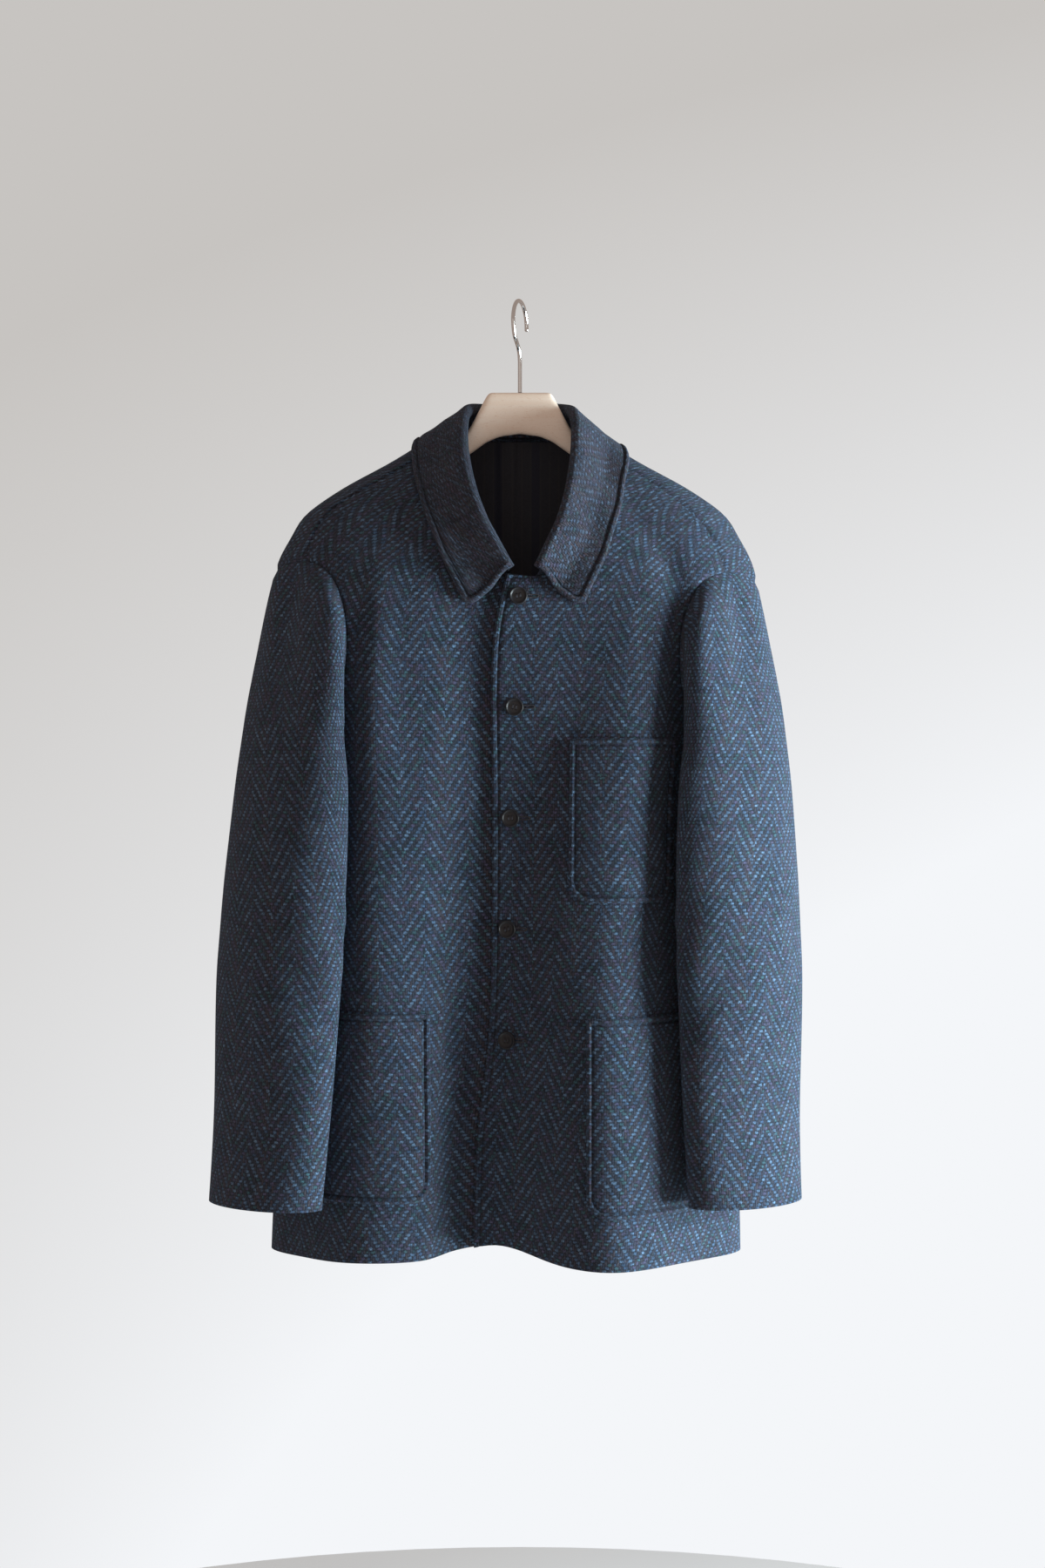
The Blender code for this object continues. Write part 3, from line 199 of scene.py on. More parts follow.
# The front has a soft ridge on each side, a flat stretch beside the one at -X, and a valley at
# the buttons. The flanks bow out between the sides and the ridges.
RING = Table(
    "z side_y ridge_a_x ridge_a_y flat_x flat_y valley_x valley_y ridge_b_x ridge_b_y bow_a bow_b back_y",
    (-0.960, 0.004, -0.167, -0.103, -0.098, -0.104, -0.046, -0.070, 0.080, -0.141, 0.010, 0.020, 0.080),
    (-0.880, 0.003, -0.166, -0.104, -0.096, -0.104, -0.044, -0.072, 0.080, -0.137, 0.010, 0.020, 0.080),
    (-0.750, 0.002, -0.162, -0.102, -0.092, -0.102, -0.038, -0.077, 0.083, -0.127, 0.008, 0.015, 0.080),
    (-0.580, 0.002, -0.157, -0.097, -0.088, -0.098, -0.026, -0.082, 0.095, -0.114, 0.004, 0.008, 0.080),
    (-0.450, 0.003, -0.155, -0.092, -0.085, -0.094, -0.014, -0.085, 0.115, -0.101, 0.004, 0.006, 0.078),
    (-0.360, 0.002, -0.158, -0.087, -0.083, -0.090, -0.006, -0.087, 0.135, -0.090, 0.012, 0.012, 0.075),
    (-0.300, 0.000, -0.160, -0.077, -0.082, -0.084, 0.000, -0.085, 0.147, -0.078, 0.017, 0.017, 0.072),
    (-0.250, 0.000, -0.155, -0.063, -0.080, -0.074, 0.000, -0.078, 0.145, -0.063, 0.016, 0.016, 0.068),
    (-0.200, 0.000, -0.132, -0.046, -0.067, -0.060, 0.000, -0.065, 0.122, -0.046, 0.012, 0.012, 0.063),
    (-0.160, 0.000, -0.088, -0.031, -0.046, -0.044, 0.000, -0.049, 0.080, -0.031, 0.008, 0.008, 0.056),
    (-0.110, 0.000, -0.038, -0.012, -0.020, -0.018, 0.000, -0.020, 0.030, -0.012, 0.004, 0.004, 0.040),
)
BACK_SHOULDER = 0.62  # where the back begins to round, as a part of the half width
BACK_CORNER = 0.95  # how far back the ring is there, as a part of the middle's
KNOT_POWER = 0.75  # under 1, which keeps the curve calm beside a short step

TOP_Z = -0.110
BOTTOM_Z = -0.955
LEVELS = np.linspace(BOTTOM_Z, TOP_Z, 600)
ROUND = np.linspace(0, 2, 361)  # 0 at the side at -X, 1 at the side at +X, 2 is 0 again


def between(start, end, bow):
    """The point midway between two others of the ring, in its order, moved out by the bow."""
    step = end - start
    return (start + end) / 2 + bow * np.array([step[1], -step[0]]) / np.hypot(*step)


def ring(z):
    """The ring at one height: one point for each place in ROUND, evenly spaced in each half."""
    middle = LEAN("middle_x", z)
    half = SIDE("half_width", z)
    size = {name: RING(name, z) for name in RING.columns[1:]}
    side_a = np.array([middle - half, size["side_y"]])
    side_b = np.array([middle + half, size["side_y"]])
    ridge_a = np.array([size["ridge_a_x"], size["ridge_a_y"]])
    ridge_b = np.array([size["ridge_b_x"], size["ridge_b_y"]])
    points = np.array(
        [
            side_a,
            between(side_a, ridge_a, size["bow_a"]),
            ridge_a,
            (size["flat_x"], size["flat_y"]),
            (size["valley_x"], size["valley_y"]),
            ridge_b,
            between(ridge_b, side_b, size["bow_b"]),
            side_b,
            (middle + BACK_SHOULDER * half, BACK_CORNER * size["back_y"]),
            (middle, size["back_y"]),
            (middle - BACK_SHOULDER * half, BACK_CORNER * size["back_y"]),
        ]
    )
    steps = np.linalg.norm(np.roll(points, -1, axis=0) - points, axis=1) ** KNOT_POWER
    knots = np.append(0, np.cumsum(steps))
    front_end = knots[7]
    front = spline(knots[:-1], points, np.linspace(0, front_end, 400), knots[-1])
    back = spline(knots[:-1], points, np.linspace(front_end, knots[-1], 400), knots[-1])
    half_count = len(ROUND) // 2 + 1
    return np.concatenate([even(front, half_count)[:-1], even(back, half_count)])


RINGS = np.array([ring(z) for z in LEVELS])


def level_of(z):
    """The row of RINGS at height z, which may lie between two."""
    return (z - BOTTOM_Z) / (TOP_Z - BOTTOM_Z) * (len(LEVELS) - 1)


def bilinear(grid, at_row, at_column):
    """A grid read at rows and columns that may lie between its own."""
    row = np.clip(at_row.astype(int), 0, grid.shape[0] - 2)
    column = np.clip(at_column.astype(int), 0, grid.shape[1] - 2)
    down = (at_row - row)[..., None]
    across = (at_column - column)[..., None]
    low = grid[row, column] * (1 - across) + grid[row, column + 1] * across
    high = grid[row + 1, column] * (1 - across) + grid[row + 1, column + 1] * across
    return low * (1 - down) + high * down


print("rings and points of each:", RINGS.shape[:2])


# %% [markdown]
# ## Creases
# Heavy wool falls in few, broad, shallow waves. They could come from a cloth simulation, but then
# they would not lie where they do here, so each one is a row: where it starts and ends, how wide
# it is and how far it stands out or dips. The panels, pockets, buttons and lining all follow
# them.


# %% Creases of the body
CREASES = (
    # on_back, x and z of one end, x and z of the other, width, height out of the cloth
    (0, -0.1500, -0.300, -0.1620, -0.420, 0.013, -0.0030),
    (0, -0.1330, -0.270, -0.1420, -0.460, 0.016, 0.0032),
    (0, -0.1120, -0.330, -0.1080, -0.520, 0.018, -0.0016),
    (0, -0.1450, -0.560, -0.1300, -0.760, 0.022, 0.0022),
    (0, -0.0700, -0.600, -0.0600, -0.800, 0.020, -0.0018),
    (0, -0.0620, -0.350, -0.0640, -0.520, 0.020, 0.0016),
    (0, -0.1180, -0.900, -0.0960, -0.780, 0.020, 0.0014),
    (0, 0.1400, -0.250, 0.1500, -0.420, 0.013, -0.0062),
    (0, 0.1060, -0.300, 0.1080, -0.500, 0.018, 0.0022),
    (0, 0.0600, -0.340, 0.0420, -0.480, 0.022, -0.0016),
    (0, 0.1300, -0.560, 0.1100, -0.720, 0.020, -0.0018),
    (0, 0.0340, -0.560, 0.0420, -0.760, 0.020, 0.0016),
    (0, 0.0200, -0.800, 0.0060, -0.930, 0.016, -0.0018),
    (0, -0.0600, -0.300, -0.0640, -0.950, 0.018, -0.0045),
    (0, -0.0900, -0.200, -0.1300, -0.250, 0.016, -0.0014),
    (0, 0.0950, -0.195, 0.1350, -0.250, 0.016, -0.0016),
    (1, -0.1250, -0.300, -0.1380, -0.520, 0.022, 0.0030),
    (1, -0.0700, -0.420, -0.0800, -0.820, 0.030, -0.0026),
    (1, -0.0100, -0.240, -0.0040, -0.420, 0.026, 0.0018),
    (1, 0.0200, -0.520, 0.0300, -0.880, 0.028, 0.0026),
    (1, 0.0900, -0.340, 0.1000, -0.640, 0.026, -0.0026),
    (1, 0.1450, -0.300, 0.1400, -0.500, 0.018, 0.0028),
    (1, 0.1500, -0.640, 0.1400, -0.880, 0.024, 0.0022),
    (1, -0.1500, -0.660, -0.1420, -0.900, 0.024, -0.0022),
)
CREASE_FADE = 0.25  # at each end, the part of its length over which a crease fades


def metric(found):
    """Places with the way round in metres, so that steps along them can be compared."""
    return np.asarray(found) * (0.5, 1)


def around_at(x, z, on_back=False):
    """Where the ring at height z passes x: on the front, or on the back."""
    row = int(round(level_of(z)))
    half = len(ROUND) // 2
    if on_back:
        return np.interp(-x, -RINGS[row, half:, 0], ROUND[half:])
    return np.interp(x, RINGS[row, : half + 1, 0], ROUND[: half + 1])


def one_crease(place, start, end, width, height):
    """How far one crease moves the cloth out at the given places."""
    whole = end - start
    along_it = ((place - start) @ whole) / (whole @ whole)
    aside = np.linalg.norm(place - start - along_it[..., None] * whole, axis=-1)
    fade = smooth((along_it + CREASE_FADE / 2) / CREASE_FADE)
    fade = fade * smooth((1 + CREASE_FADE / 2 - along_it) / CREASE_FADE)
    return height * fade * np.exp(-((aside / width) ** 2))


def crease_lines():
    """The table's rows with their ends as places on the body."""
    lines = []
    for on_back, x_a, z_a, x_b, z_b, width, height in CREASES:
        ends = ((x_a, z_a), (x_b, z_b))
        ends = metric([(around_at(x, z, bool(on_back)), z) for x, z in ends])
        lines.append((*ends, width, height))
    return lines


def crease_height(place):
    """How far all creases move the cloth out at the given places."""
    place = metric(place)
    place[..., 0] %= 1
    return sum(one_crease(place, *line) for line in CREASE_LINES)


CREASE_LINES = crease_lines()
print("creases:", len(CREASE_LINES))


# %% Points on the body
TURN_STEP = 0.004  # to each side of a place, to find the way across the cloth
RISE_STEP = 0.002  # and the way up it


def bare_torso(around, z):
    """Points of the torso's outer face without its creases."""
    column = (around % 2) / 2 * (len(ROUND) - 1)
    return np.concatenate([bilinear(RINGS, level_of(z), column), z[..., None]], axis=-1)


def torso(place, out=0.0):
    """Points of the torso's outer face at (round, z) places, moved out along its normals."""
    place = np.asarray(place, float)
    around, z = place[..., 0], place[..., 1]
    across = bare_torso(around + TURN_STEP, z) - bare_torso(around - TURN_STEP, z)
    up = bare_torso(around, z + RISE_STEP) - bare_torso(around, z - RISE_STEP)
    normal = unit(np.cross(across, up))
    return bare_torso(around, z) + normal * (np.asarray(out) + crease_height(place))[..., None]


print("a point of the front:", torso(np.array([0.5, -0.5])).round(3))


# %% [markdown]
# ## Seams
# The armhole, shoulder seam and neck are lines drawn on the body. Pieces that are sewn together
# share them, as real seam lines do, so no gap opens between a sleeve and its armhole.


# %% Seam lines
# Seams, as places on the torso at the +X side. on_back is 1 where a row lies on the back.
# The armhole starts under the arm and runs up the front, over the shoulder and down the back.
ARMHOLE = (
    # x from the jacket's middle, z, on_back
    (0.2300, -0.485, 0),
    (0.1975, -0.462, 0),
    (0.1800, -0.430, 0),
    (0.1665, -0.390, 0),
    (0.1620, -0.345, 0),
    (0.1680, -0.303, 0),
    (0.1840, -0.276, 0),
    (0.2060, -0.2665, 0),
    (0.2240, -0.268, 0),
    (0.2600, -0.2735, 0),
    (0.2330, -0.287, 1),
    (0.2200, -0.320, 1),
    (0.2120, -0.370, 1),
    (0.2085, -0.415, 1),
    (0.2085, -0.455, 1),
    (0.2300, -0.485, 1),
)
CREST = 7  # the armhole's row where the shoulder seam meets it
SHOULDER_SEAM = (
    # x from the jacket's middle, z
    (0.0700, -0.1345),
    (0.1000, -0.1590),
    (0.1330, -0.1800),
    (0.1690, -0.2045),
    (0.1850, -0.2190),
    (0.1970, -0.2380),
    (0.2060, -0.2665),
)
# The collar from its front end to the middle of the back: the roll at its top, the seam that
# joins it to the neck, and the free edge of the fall. All x are from the collar's middle.
COLLAR = (
    # on_back, roll_x, roll_y, roll_z, seam_x, seam_z, edge_x, edge_z
    (0, 0.0093, -0.0935, -0.2700, 0.0120, -0.2800, 0.0555, -0.3130),
    (0, 0.0205, -0.0915, -0.2505, 0.0340, -0.2665, 0.0700, -0.2890),
    (0, 0.0315, -0.0845, -0.2270, 0.0500, -0.2395, 0.0800, -0.2600),
    (0, 0.0420, -0.0725, -0.1960, 0.0610, -0.2040, 0.0925, -0.2240),
    (0, 0.0490, -0.0545, -0.1600, 0.0680, -0.1680, 0.1005, -0.1930),
    (0, 0.0510, -0.0350, -0.1300, 0.0710, -0.1400, 0.1050, -0.1680),
    (0, 0.0495, -0.0120, -0.1100, 0.0900, -0.1230, 0.1300, -0.1450),
    (1, 0.0430, 0.0130, -0.1010, 0.0560, -0.1215, 0.1000, -0.1530),
    (1, 0.0270, 0.0340, -0.0960, 0.0300, -0.1265, 0.0640, -0.1600),
    (1, 0.0000, 0.0420, -0.0945, 0.0000, -0.1280, 0.0000, -0.1630),
)
COLLAR_CORNER = COLLAR[5:8]  # where the fall passes over the shoulder
COLLAR_MIDDLE = Table("z middle_x", (-0.35, 0.004), (-0.27, 0.004), (-0.16, 0.0), (-0.09, 0.0))
UNDER_END_RISE = 0.0042  # the collar's end on the under front clears the other front's corner
NECK_HALF_WIDTH = 0.0735  # at the ridge of the shoulders
NECK_AT_SHOULDER = 5.25  # the place along the collar's rows where the shoulder seam starts
NECK_AT_RIDGE = 6.0  # and where the ridge of the shoulder meets the neck
SHOULDER_DROP = {1: -0.006, -1: 0.006}  # the shoulder at +X hangs lower
ARMHOLE_DROP_FADE = 0.1  # the drop comes in from the underarm up
NECK_DROP_Z, NECK_DROP_FADE = -0.17, 0.06  # and on the shoulder seam from here down


def places(rows, side, first=0, last=None):
    """Rows of (x, z, on_back) as places on the torso. side is 1 at +X and -1 at -X."""
    found = []
    for x, z, *on_back in rows[first:last]:
        if rows is ARMHOLE:
            near_shoulder = smooth((z - UNDERARM_Z) / ARMHOLE_DROP_FADE)
        else:
            near_shoulder = smooth((NECK_DROP_Z - z) / NECK_DROP_FADE)
        z = z + SHOULDER_DROP[side] * near_shoulder
        x = LEAN("middle_x", z) + side * x
        found.append((around_at(x, z, bool(on_back and on_back[0])), z))
    return np.array(found)


def unwrapped(found, near):
    """Places moved by whole turns so that they lie within one turn of the place near."""
    found = np.array(found)
    found[:, 0] += 2 * np.round((near - found[:, 0]) / 2)
    return found


def collar_line(name, side, at):
    """Places of the collar's seam or edge at steps along its rows."""
    found = []
    x_column, z_column = {"seam": (4, 5), "edge": (6, 7)}[name]
    for row in COLLAR:
        z = row[z_column]
        if name == "edge" and row in COLLAR_CORNER:
            z += SHOULDER_DROP[side] / 2
        if name == "seam" and side == -1 and row is COLLAR[0]:
            z += UNDER_END_RISE
        x = COLLAR_MIDDLE("middle_x", z) + side * row[x_column]
        found.append((around_at(x, z, bool(row[0])), z))
    found = unwrapped(found, 1 if side == 1 else 0)
    return spline(np.arange(len(COLLAR)), found, at)


at_shoulder = collar_line("seam", 1, np.array([NECK_AT_SHOULDER]))
print("the collar's seam at the shoulder:", at_shoulder.round(3))


# %% The opening down the front and the hem
# Openings down the front: the free edge of the front that laps over, and the buttons' line.
PLACKET = Table(
    "z edge_x button_x",
    (-0.95, -0.0460, -0.0200),
    (-0.90, -0.0438, -0.0175),
    (-0.82, -0.0410, -0.0140),
    (-0.75, -0.0326, -0.0120),
    (-0.69, -0.0284, -0.0118),
    (-0.60, -0.0268, -0.0115),
    (-0.47, -0.0268, -0.0070),
    (-0.39, -0.0276, -0.0045),
    (-0.346, -0.0259, -0.0030),
    (-0.315, -0.0217, -0.0018),
    (-0.290, -0.0160, -0.0012),
    (-0.275, -0.0130, -0.0010),
)
FRONT_TOP_Z = {1: -0.277, -1: -0.285}  # of the free edges: the under front is cut lower
FIRST_BUTTON_Z = -0.299
LAP_DEPTH = CLOTH + 0.0016  # how far the under front lies behind the other
LAP_FADE = 0.035  # beside the lap, over which it comes back out
LAP_MARGIN = 0.012  # how far before the free edge it's already at its depth


def lap_out(found):
    """How far the under front lies out from the torso's face at its places: in, where lapped."""
    found = np.asarray(found)
    x = torso(found)[..., 0]
    over = x - PLACKET("edge_x", found[..., 1]) + LAP_FADE + LAP_MARGIN
    return -LAP_DEPTH * smooth(over / LAP_FADE)


# The hem dips at the sides and rises towards the buttons.
HEM = Table(
    "around z",
    (-0.10, -0.9420),
    (0.00, -0.9430),
    (0.15, -0.9400),
    (0.30, -0.9370),
    (0.42, -0.9320),
    (0.47, -0.9265),
    (0.52, -0.9300),
    (0.58, -0.9370),
    (0.72, -0.9400),
    (0.88, -0.9420),
    (1.00, -0.9440),
    (1.50, -0.9400),
    (2.00, -0.9430),
    (2.10, -0.9420),
)
OPENING = 0.47  # where round the hem the fronts meet
print("the hem's height at the opening:", float(HEM("z", OPENING)))


# %% Grids between four seams
def patch(bottom, right, top, left):
    """A grid of places between four edges that meet at their ends. The top's shape fades fast."""
    s = np.linspace(0, 1, len(bottom))[None, :, None]
    t = np.linspace(0, 1, len(left))[:, None, None]
    sides = (1 - s) * left[:, None] + s * right[:, None]
    under = bottom[None] - (1 - s) * bottom[0] - s * bottom[-1]
    over = top[None] - (1 - s) * top[0] - s * top[-1]
    return sides + (1 - t) * under + t**3 * over


def place_line(found, count):
    """Places at equal steps along a smooth line through the given places."""
    return along(metric(found), count) / (0.5, 1)


FINER = 4  # times as many rows and columns as the plain solids
SIDE_ROWS = 11 * FINER  # from the hem to the underarm
ARM_FRONT_ROWS = 9 * FINER  # from the underarm to the crest
NECK_ROWS = 5 * FINER  # of them, along the neck
ARM_TOP_ROWS = 3 * FINER  # from the crest to the shoulder's end
ARM_BACK_ROWS = 9 * FINER  # from there down to the underarm
SHOULDER_COLUMNS = 6 * FINER + 1
FRONT_COLUMNS = 2 * SHOULDER_COLUMNS - 1
LAP_COLUMNS = 2 * FINER  # of the under front, which lie under the other
BACK_NECK_COLUMNS = 8 * FINER + 1
print("columns of a front:", FRONT_COLUMNS)


# %% [markdown]
# A panel is the area between its own seams: the hem, the side, the armhole with the shoulder, and
# the opening or the neck. Such a patch could be filled by Blender's grid fill. Here the four
# edges are blended, so that each row runs from seam to seam and each column from hem to shoulder.


# %% The panels as grids of places
NECK_SAMPLES = 12
RIDGE_SAMPLES = 40


def armhole(side):
    """Places round the armhole, from the underarm up the front, over and down the back."""
    front = place_line(places(ARMHOLE, side, 0, CREST + 1), ARM_FRONT_ROWS + 1)
    top = place_line(places(ARMHOLE, side, CREST, CREST + 3), ARM_TOP_ROWS + 1)
    back = place_line(
        unwrapped(places(ARMHOLE, side, CREST + 2), 1 if side == 1 else 0), ARM_BACK_ROWS + 1
    )
    return front, top, back


def hem_line(start, end, count):
    around = np.linspace(start, end, count)
    return np.stack([around, HEM("z", around)], axis=1)


def shoulder_seam(side):
    neck = collar_line("seam", side, np.array([NECK_AT_SHOULDER]))[0]
    found = places(SHOULDER_SEAM, side)
    crest = armhole(side)[0][-1]
    return place_line([neck, *found[1:-1], crest], SHOULDER_COLUMNS)


def front_places(side, edge_x):
    """The grid of a front: its rows run from the centre to the side, from the hem up."""
    hem_z = HEM("z", OPENING)
    lower_z = np.linspace(hem_z, UNDERARM_Z, SIDE_ROWS + 1)
    upper_z = np.linspace(UNDERARM_Z, FRONT_TOP_Z[side], ARM_FRONT_ROWS - NECK_ROWS + 1)
    edge = [(around_at(edge_x(z), z), z) for z in [*lower_z, *upper_z[1:]]]
    neck = collar_line("seam", side, np.linspace(0, NECK_AT_SHOULDER, NECK_SAMPLES))
    neck = place_line(neck, NECK_ROWS)
    centre = np.array([*edge, *neck])
    front, _, _ = armhole(side)
    side_around = 1.0 if side == 1 else 0.0
    side_z = np.linspace(HEM("z", side_around), UNDERARM_Z, SIDE_ROWS + 1)
    outer = np.array([*((side_around, z) for z in side_z[:-1]), *front])
    outer[SIDE_ROWS, 0] = side_around
    # On the under front a column runs under the other's free edge.
    lap = around_at(PLACKET("edge_x", hem_z), hem_z)
    knots = [0, LAP_COLUMNS, FRONT_COLUMNS - 1]
    if side == 1:
        lap = centre[0, 0] + (side_around - centre[0, 0]) * LAP_COLUMNS / (FRONT_COLUMNS - 1)
    around = np.interp(np.arange(FRONT_COLUMNS), knots, [centre[0, 0], lap, side_around])
    hem = np.stack([around, HEM("z", around)], axis=1)
    centre[0, 1] = hem[0, 1]
    seam = shoulder_seam(side)
    top = np.zeros((FRONT_COLUMNS, 2))
    top[::2] = seam
    top[1::2] = (seam[1:] + seam[:-1]) / 2
    return patch(hem, outer, top, centre)


def back_places():
    """The back's grids: the main one up to the ridge of the shoulders, and a flap over each."""
    edges = {}
    for side in (1, -1):
        _, top, back = armhole(side)
        side_around = 1.0 if side == 1 else 2.0
        back = unwrapped(back, side_around)[::-1]
        top = unwrapped(top, side_around)[::-1]
        side_z = np.linspace(HEM("z", side_around), UNDERARM_Z, SIDE_ROWS + 1)
        edge = np.array([*((side_around, z) for z in side_z[:-1]), *back])
        edge[SIDE_ROWS] = side_around, UNDERARM_Z
        seam = unwrapped(shoulder_seam(side), side_around)
        neck_ridge_z = ridge_height(NECK_HALF_WIDTH)
        ridge = np.linspace(neck_ridge_z, edge[-1, 1], RIDGE_SAMPLES)
        ridge = place_line([(side_around, z) for z in ridge], SHOULDER_COLUMNS)
        edges[side] = edge, top, seam, ridge
    neck_end = 2 * (len(COLLAR) - 1) - NECK_AT_RIDGE
    neck = np.linspace(NECK_AT_RIDGE, neck_end, BACK_NECK_COLUMNS)
    neck = np.array([neck_place(at) for at in neck])
    neck[0] = edges[1][3][0]
    neck[-1] = edges[-1][3][0]
    top_edge = np.array([*edges[1][3][::-1], *neck[1:-1], *edges[-1][3]])
    hem = hem_line(1.0, 2.0, len(top_edge))
    main = patch(hem, edges[-1][0], top_edge, edges[1][0])
    return main, {side: flap(*edges[side][1:], side) for side in (1, -1)}


def ridge_height(half):
    """The height where the ridge of the shoulder is this far from the jacket's middle."""
    heights = LEVELS[::-1]
    widths = SIDE("half_width", heights)
    return np.interp(half, widths, heights)


def neck_place(at):
    """A place on the back of the neck seam, where at counts the collar's rows right round."""
    last = len(COLLAR) - 1
    if at <= last:
        return collar_line("seam", 1, np.array([at]))[0]
    found = collar_line("seam", -1, np.array([2 * last - at]))[0]
    return found[0] + 2, found[1]


def flap(top, seam, ridge, side):
    """The strip of the back between the ridge of a shoulder and the seam in front of it."""
    neck_steps = np.linspace(0, 1, ARM_TOP_ROWS + 1)[:, None]
    neck = ridge[0] * (1 - neck_steps) + seam[0] * neck_steps
    return patch(ridge, top, seam, neck)


print("points along the back of the neck:", BACK_NECK_COLUMNS)


# %% [markdown]
# ## Sheets of cloth
# A cut piece of cloth is a thin wall. Blender's Solidify could thicken a surface, but at a seam
# two pieces have to share the direction in which they are thick, or they would cut into each
# other in a fold. So a sheet is a surface whose normals are first shared with its neighbours, and
# whose wall is then made. A Bevel modifier rounds the cut edges, as thick wool's edges are.


# %% A surface made of grids
LONGEST_MITRE = 2.0  # how much further than its thickness a wall's corner may reach, in a fold
LEAST_SPREAD = 0.6  # keeps a corner of a drawn-back border from running away
SAME_POINT = 6  # decimals: points that agree to a micrometre are one


def lengths(vectors):
    """The length of each vector, never quite 0, so that it can be divided by."""
    return np.maximum(np.linalg.norm(vectors, axis=-1, keepdims=True), 1e-9)


class Sheet:
    """An open surface of grids whose common points are one. places say where each point lies."""

    def __init__(self, *grids):
        points, places, cells, first = [], [], [], 0
        for grid, found, flip in grids:
            index = first + np.arange(grid.shape[0] * grid.shape[1]).reshape(grid.shape[:2])
            if flip:
                index = index[:, ::-1]
            corners = index[:-1, :-1], index[:-1, 1:], index[1:, 1:], index[1:, :-1]
            cells.append(np.stack(corners, axis=-1).reshape(-1, 4))
            points.append(grid.reshape(-1, 3))
            places.append(found.reshape(-1, 2))
            first += index.size
        points = np.concatenate(points)
        keys = np.round(points, SAME_POINT)
        _, kept, same = np.unique(keys, axis=0, return_index=True, return_inverse=True)
        self.points = points[kept]
        self.places = np.concatenate(places)[kept]
        a, b, c, d = same.reshape(-1)[np.concatenate(cells)].T
        diagonals = self.points[a] - self.points[c], self.points[b] - self.points[d]
        short = lengths(diagonals[0]) <= lengths(diagonals[1])
        first_half = np.where(short, np.stack([a, b, c], 1), np.stack([a, b, d], 1))
        second_half = np.where(short, np.stack([a, c, d], 1), np.stack([b, c, d], 1))
        faces = np.concatenate([first_half, second_half])
        whole = (faces != np.roll(faces, -1, axis=1)).all(axis=1)
        self.faces = faces[whole]
        self.share([self])

    @staticmethod
    def share(*groups):
        """Sets the normals. Where two groups of sheets meet, they get the one midway in the fold."""
        sheets = [sheet for group in groups for sheet in group]
        keys = np.concatenate([np.round(sheet.points, SAME_POINT) for sheet in sheets])
        everything, index = np.unique(keys, axis=0, return_inverse=True)
        ends = np.cumsum([len(sheet.points) for sheet in sheets])[:-1]
        index = np.split(index.reshape(-1), ends)
        index = dict(zip(map(id, sheets), index))
        middle = np.zeros_like(everything)
        inwards = []
        normals = []
        for group in groups:
            faces = np.concatenate([index[id(sheet)][sheet.faces] for sheet in group])
            normal, inward = corner_normals(everything, faces)
            normals.append(normal)
            inwards.append(inward)
            middle += normal
        for i, (normal, inward) in enumerate(zip(normals, inwards)):
            for other, other_inward in zip(normals[:i], inwards[:i]):
                shared = (np.linalg.norm(normal, axis=1) > 0) & (np.linalg.norm(other, axis=1) > 0)
                valley = np.sign((normal * other_inward + other * inward).sum(axis=1, keepdims=True))
                middle += shared[:, None] * valley * (inward + other_inward)
        middle /= lengths(middle)
        for group, normal in zip(groups, normals):
            lean = np.maximum((middle * normal).sum(axis=1), 1 / LONGEST_MITRE)
            for sheet in group:
                own = index[id(sheet)]
                sheet.normals = middle[own]
                sheet.mitres = (1 / lean)[own]

    def rim(self):
        """The edges that one face alone uses, in its order, and the direction into that face."""
        return border(self.points, self.faces)

    def pull_in(self, distance):
        """Moves the border in along the surface, which leaves room for the sewn neighbour."""
        edges, inward = self.rim()
        total = np.zeros_like(self.points)
        for ends in edges.T:
            normal = self.normals[ends]
            aside = inward - normal * (inward * normal).sum(axis=1, keepdims=True)
            np.add.at(total, ends, aside / lengths(aside))
        spread = np.maximum((total**2).sum(axis=1, keepdims=True) / 2, LEAST_SPREAD)
        self.points = self.points + total / spread * distance

    def wall(self, thickness, lift=0.0, relief=0.0):
        """The points and faces of a closed wall. relief raises its outer face alone."""
        base = self.points + self.normals * lift
        outer = base + self.normals * np.reshape(relief, (-1, 1))
        inner = base - self.normals * self.mitres[:, None] * np.reshape(thickness, (-1, 1))
        count = len(outer)
        edges, _ = self.rim()
        a, b = edges.T
        swap = (outer[a, 2] + outer[a, 1] > outer[b, 2] + outer[b, 1])[:, None]
        under_a, under_b = a + count, b + count
        first = np.stack([b, a, np.where(swap[:, 0], under_b, under_a)], 1)
        second = np.stack([np.where(swap[:, 0], a, b), under_a, under_b], 1)
        faces = np.concatenate([self.faces, count + self.faces[:, ::-1], first, second])
        return np.concatenate([outer, inner]), faces


def face_normals(points, faces):
    a, b, c = (points[faces[:, k]] for k in range(3))
    return np.cross(b - a, c - a)


def border(points, faces):
    """The edges that only one face uses, and the direction from each into its face."""
    flat = face_normals(points, faces)
    edges = np.concatenate([faces[:, [0, 1]], faces[:, [1, 2]], faces[:, [2, 0]]])
    owner = np.tile(np.arange(len(faces)), 3)
    keys = np.sort(edges, axis=1)
    _, first, count = np.unique(keys, axis=0, return_index=True, return_counts=True)
    alone = first[count == 1]
    inward = np.cross(flat[owner[alone]], points[edges[alone, 1]] - points[edges[alone, 0]])
    return edges[alone], inward / lengths(inward)


